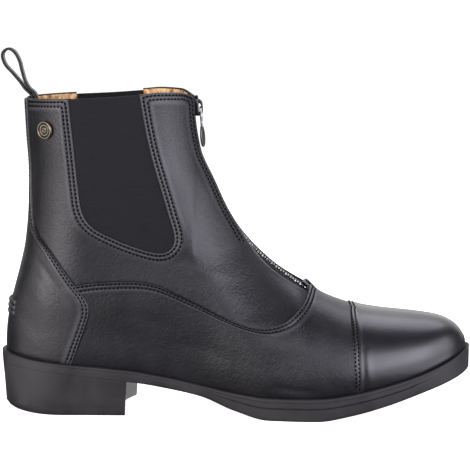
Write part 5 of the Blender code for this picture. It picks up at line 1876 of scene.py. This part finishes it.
brass_patina = add_node(brass.node_tree, "ShaderNodeAttribute", attribute_name="seam")
feed(brass_shader, "Base Color", blend_colours(brass, brass_patina.outputs["Fac"], BRASS_LIGHT, BRASS_DARK))
brass_tone = place_group(brass, uneven_tone, Patch_scale=500.0, Speckle_scale=4000.0)
feed(brass_shader, "Roughness", blend_values(brass, brass_tone.outputs["Patches"], 0.24, 0.46, 0.3, 0.7))
stud_at = on_upper(np.array([STUD]))[0]
stud_place = upper_point(stud_at[0], stud_at[1], 0.05)
stud_out = upper_point(stud_at[0], stud_at[1], 1.05) - stud_place
stud_up = unit(np.cross(stud_out, [1.0, 0, 0]))
stud_across = np.cross(stud_up, stud_out)
turn = turns_round(STUD_AROUND)
spokes = np.cos(turn)[:, None] * stud_across + np.sin(turn)[:, None] * stud_up
stud_rows = []
for row in STUD_PROFILE:
    bead = BEAD_HEIGHT * np.cos(turn * BEADS) * math.exp(-((row.radius - BEAD_RING) / BEAD_WIDE) ** 2)
    rise = STUD_PROUD * (row.height + bead)
    stud_rows.append(stud_place + STUD_SPREAD * row.radius * spokes + rise[:, None] * stud_out)
stud_dark = np.repeat([row.dark for row in STUD_PROFILE], STUD_AROUND)
stud_quads = grid_quads(len(stud_rows), STUD_AROUND, wrap=True)
stud = add_piece(
    "stud_cap", np.concatenate(stud_rows), stud_quads, [brass], sharp=60, marks={"seam": stud_dark})
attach(stud, "boot")
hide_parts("stud")


# Floor, light and camera: a pale plain sheet under broad soft lights, seen from the outer side
# a little above the boot, with a long lens.
FLOOR_SIZE, FLOOR_GREY, FLOOR_GLOW = 60.0, (0.82, 0.82, 0.82), 1.02
floor_corners = [(x * FLOOR_SIZE, y * FLOOR_SIZE, 0.0) for x, y in ((-1, -1), (1, -1), (1, 1), (-1, 1))]
floor_mesh = bpy.data.meshes.new("floor")
floor_mesh.from_pydata(floor_corners, [], [(0, 1, 2, 3)])
floor = bpy.data.objects.new("floor", floor_mesh)
bpy.context.scene.collection.objects.link(floor)
floor_material, floor_shader = new_material("pale_floor", FLOOR_GREY, Roughness=0.9)
floor_shader.inputs["Emission Color"].default_value = (1.0, 1.0, 1.0, 1.0)
floor_shader.inputs["Emission Strength"].default_value = FLOOR_GLOW
floor_mesh.materials.append(floor_material)
floor.visible_glossy = False

SKY_COLOUR, SKY_LIGHT = (0.95, 0.93, 1.0), 0.06
world = bpy.data.worlds.new("studio")
world.use_nodes = True
sky = world.node_tree.nodes["Background"].inputs
sky["Color"].default_value = (*SKY_COLOUR, 1.0)
sky["Strength"].default_value = SKY_LIGHT
bpy.context.scene.world = world
bpy.context.scene.view_settings.view_transform = "Standard"

Light = namedtuple("Light", "name x y z turn tilt wide tall power colour")
WARM = (1.0, 0.96, 1.0)
LIGHTS = [
    Light("left", -1.0, -1.19, 0.80, -40, 90, 1.25, 1.0, 17.0, WARM),
    Light("left_low", -1.10, -1.10, 0.20, -45, 90, 0.9, 0.26, 5.2, WARM),
    Light("left_far", -1.52, -0.32, 0.53, -78, 90, 0.9, 0.95, 4.4, WARM),
    Light("right", 1.07, -1.19, 0.68, 42, 90, 1.17, 1.14, 19.0, (0.88, 0.87, 1.0)),
    Light("right_far", 1.52, -0.42, 0.58, 75, 90, 1.1, 1.05, 9.5, (0.91, 0.91, 1.0)),
    Light("front", 0.08, -1.5, 0.72, 3, 90, 0.55, 0.4, 2.4, (0.90, 0.88, 1.0)),
    Light("behind", 0.25, 0.75, 1.25, 162, 33, 1.6, 0.8, 11.5, (0.90, 0.89, 1.0)),
    Light("backdrop", 0.0, 1.5, 0.62, 180, 90, 3.2, 1.2, 11.0, (1.0, 1.0, 1.0)),
    Light("board_left", -0.76, -0.68, 0.003, 0, 180, 0.64, 0.5, 2.4, WARM),
    Light("board_heel", -0.42, -0.21, 0.003, 0, 180, 0.58, 0.38, 0.85, WARM),
    Light("board_right", 0.74, -0.45, 0.003, 0, 180, 1.15, 0.9, 6.4, (0.90, 0.89, 1.0)),
]
for row in LIGHTS:
    data = bpy.data.lights.new(row.name, "AREA")
    data.shape = "RECTANGLE"
    data.size, data.size_y = row.wide, row.tall
    data.energy = row.power
    data.color = row.colour
    lamp = bpy.data.objects.new(row.name, data)
    lamp.location = (row.x, row.y, row.z)
    lamp.rotation_euler = (math.radians(row.tilt), 0.0, math.radians(row.turn))
    lamp.visible_camera = False
    bpy.context.scene.collection.objects.link(lamp)

CAMERA_PLACE = (-0.00076, -1.1993, 0.2539)
CAMERA_PITCH, CAMERA_SENSOR, CAMERA_LENS = 7.125, 36.0, 154.4
camera_data = bpy.data.cameras.new("camera")
camera_data.sensor_width = CAMERA_SENSOR
camera_data.lens = CAMERA_LENS
camera = bpy.data.objects.new("camera", camera_data)
camera.location = CAMERA_PLACE
camera.rotation_euler = (math.radians(90 - CAMERA_PITCH), 0, 0)
bpy.context.scene.collection.objects.link(camera)
bpy.context.scene.camera = camera
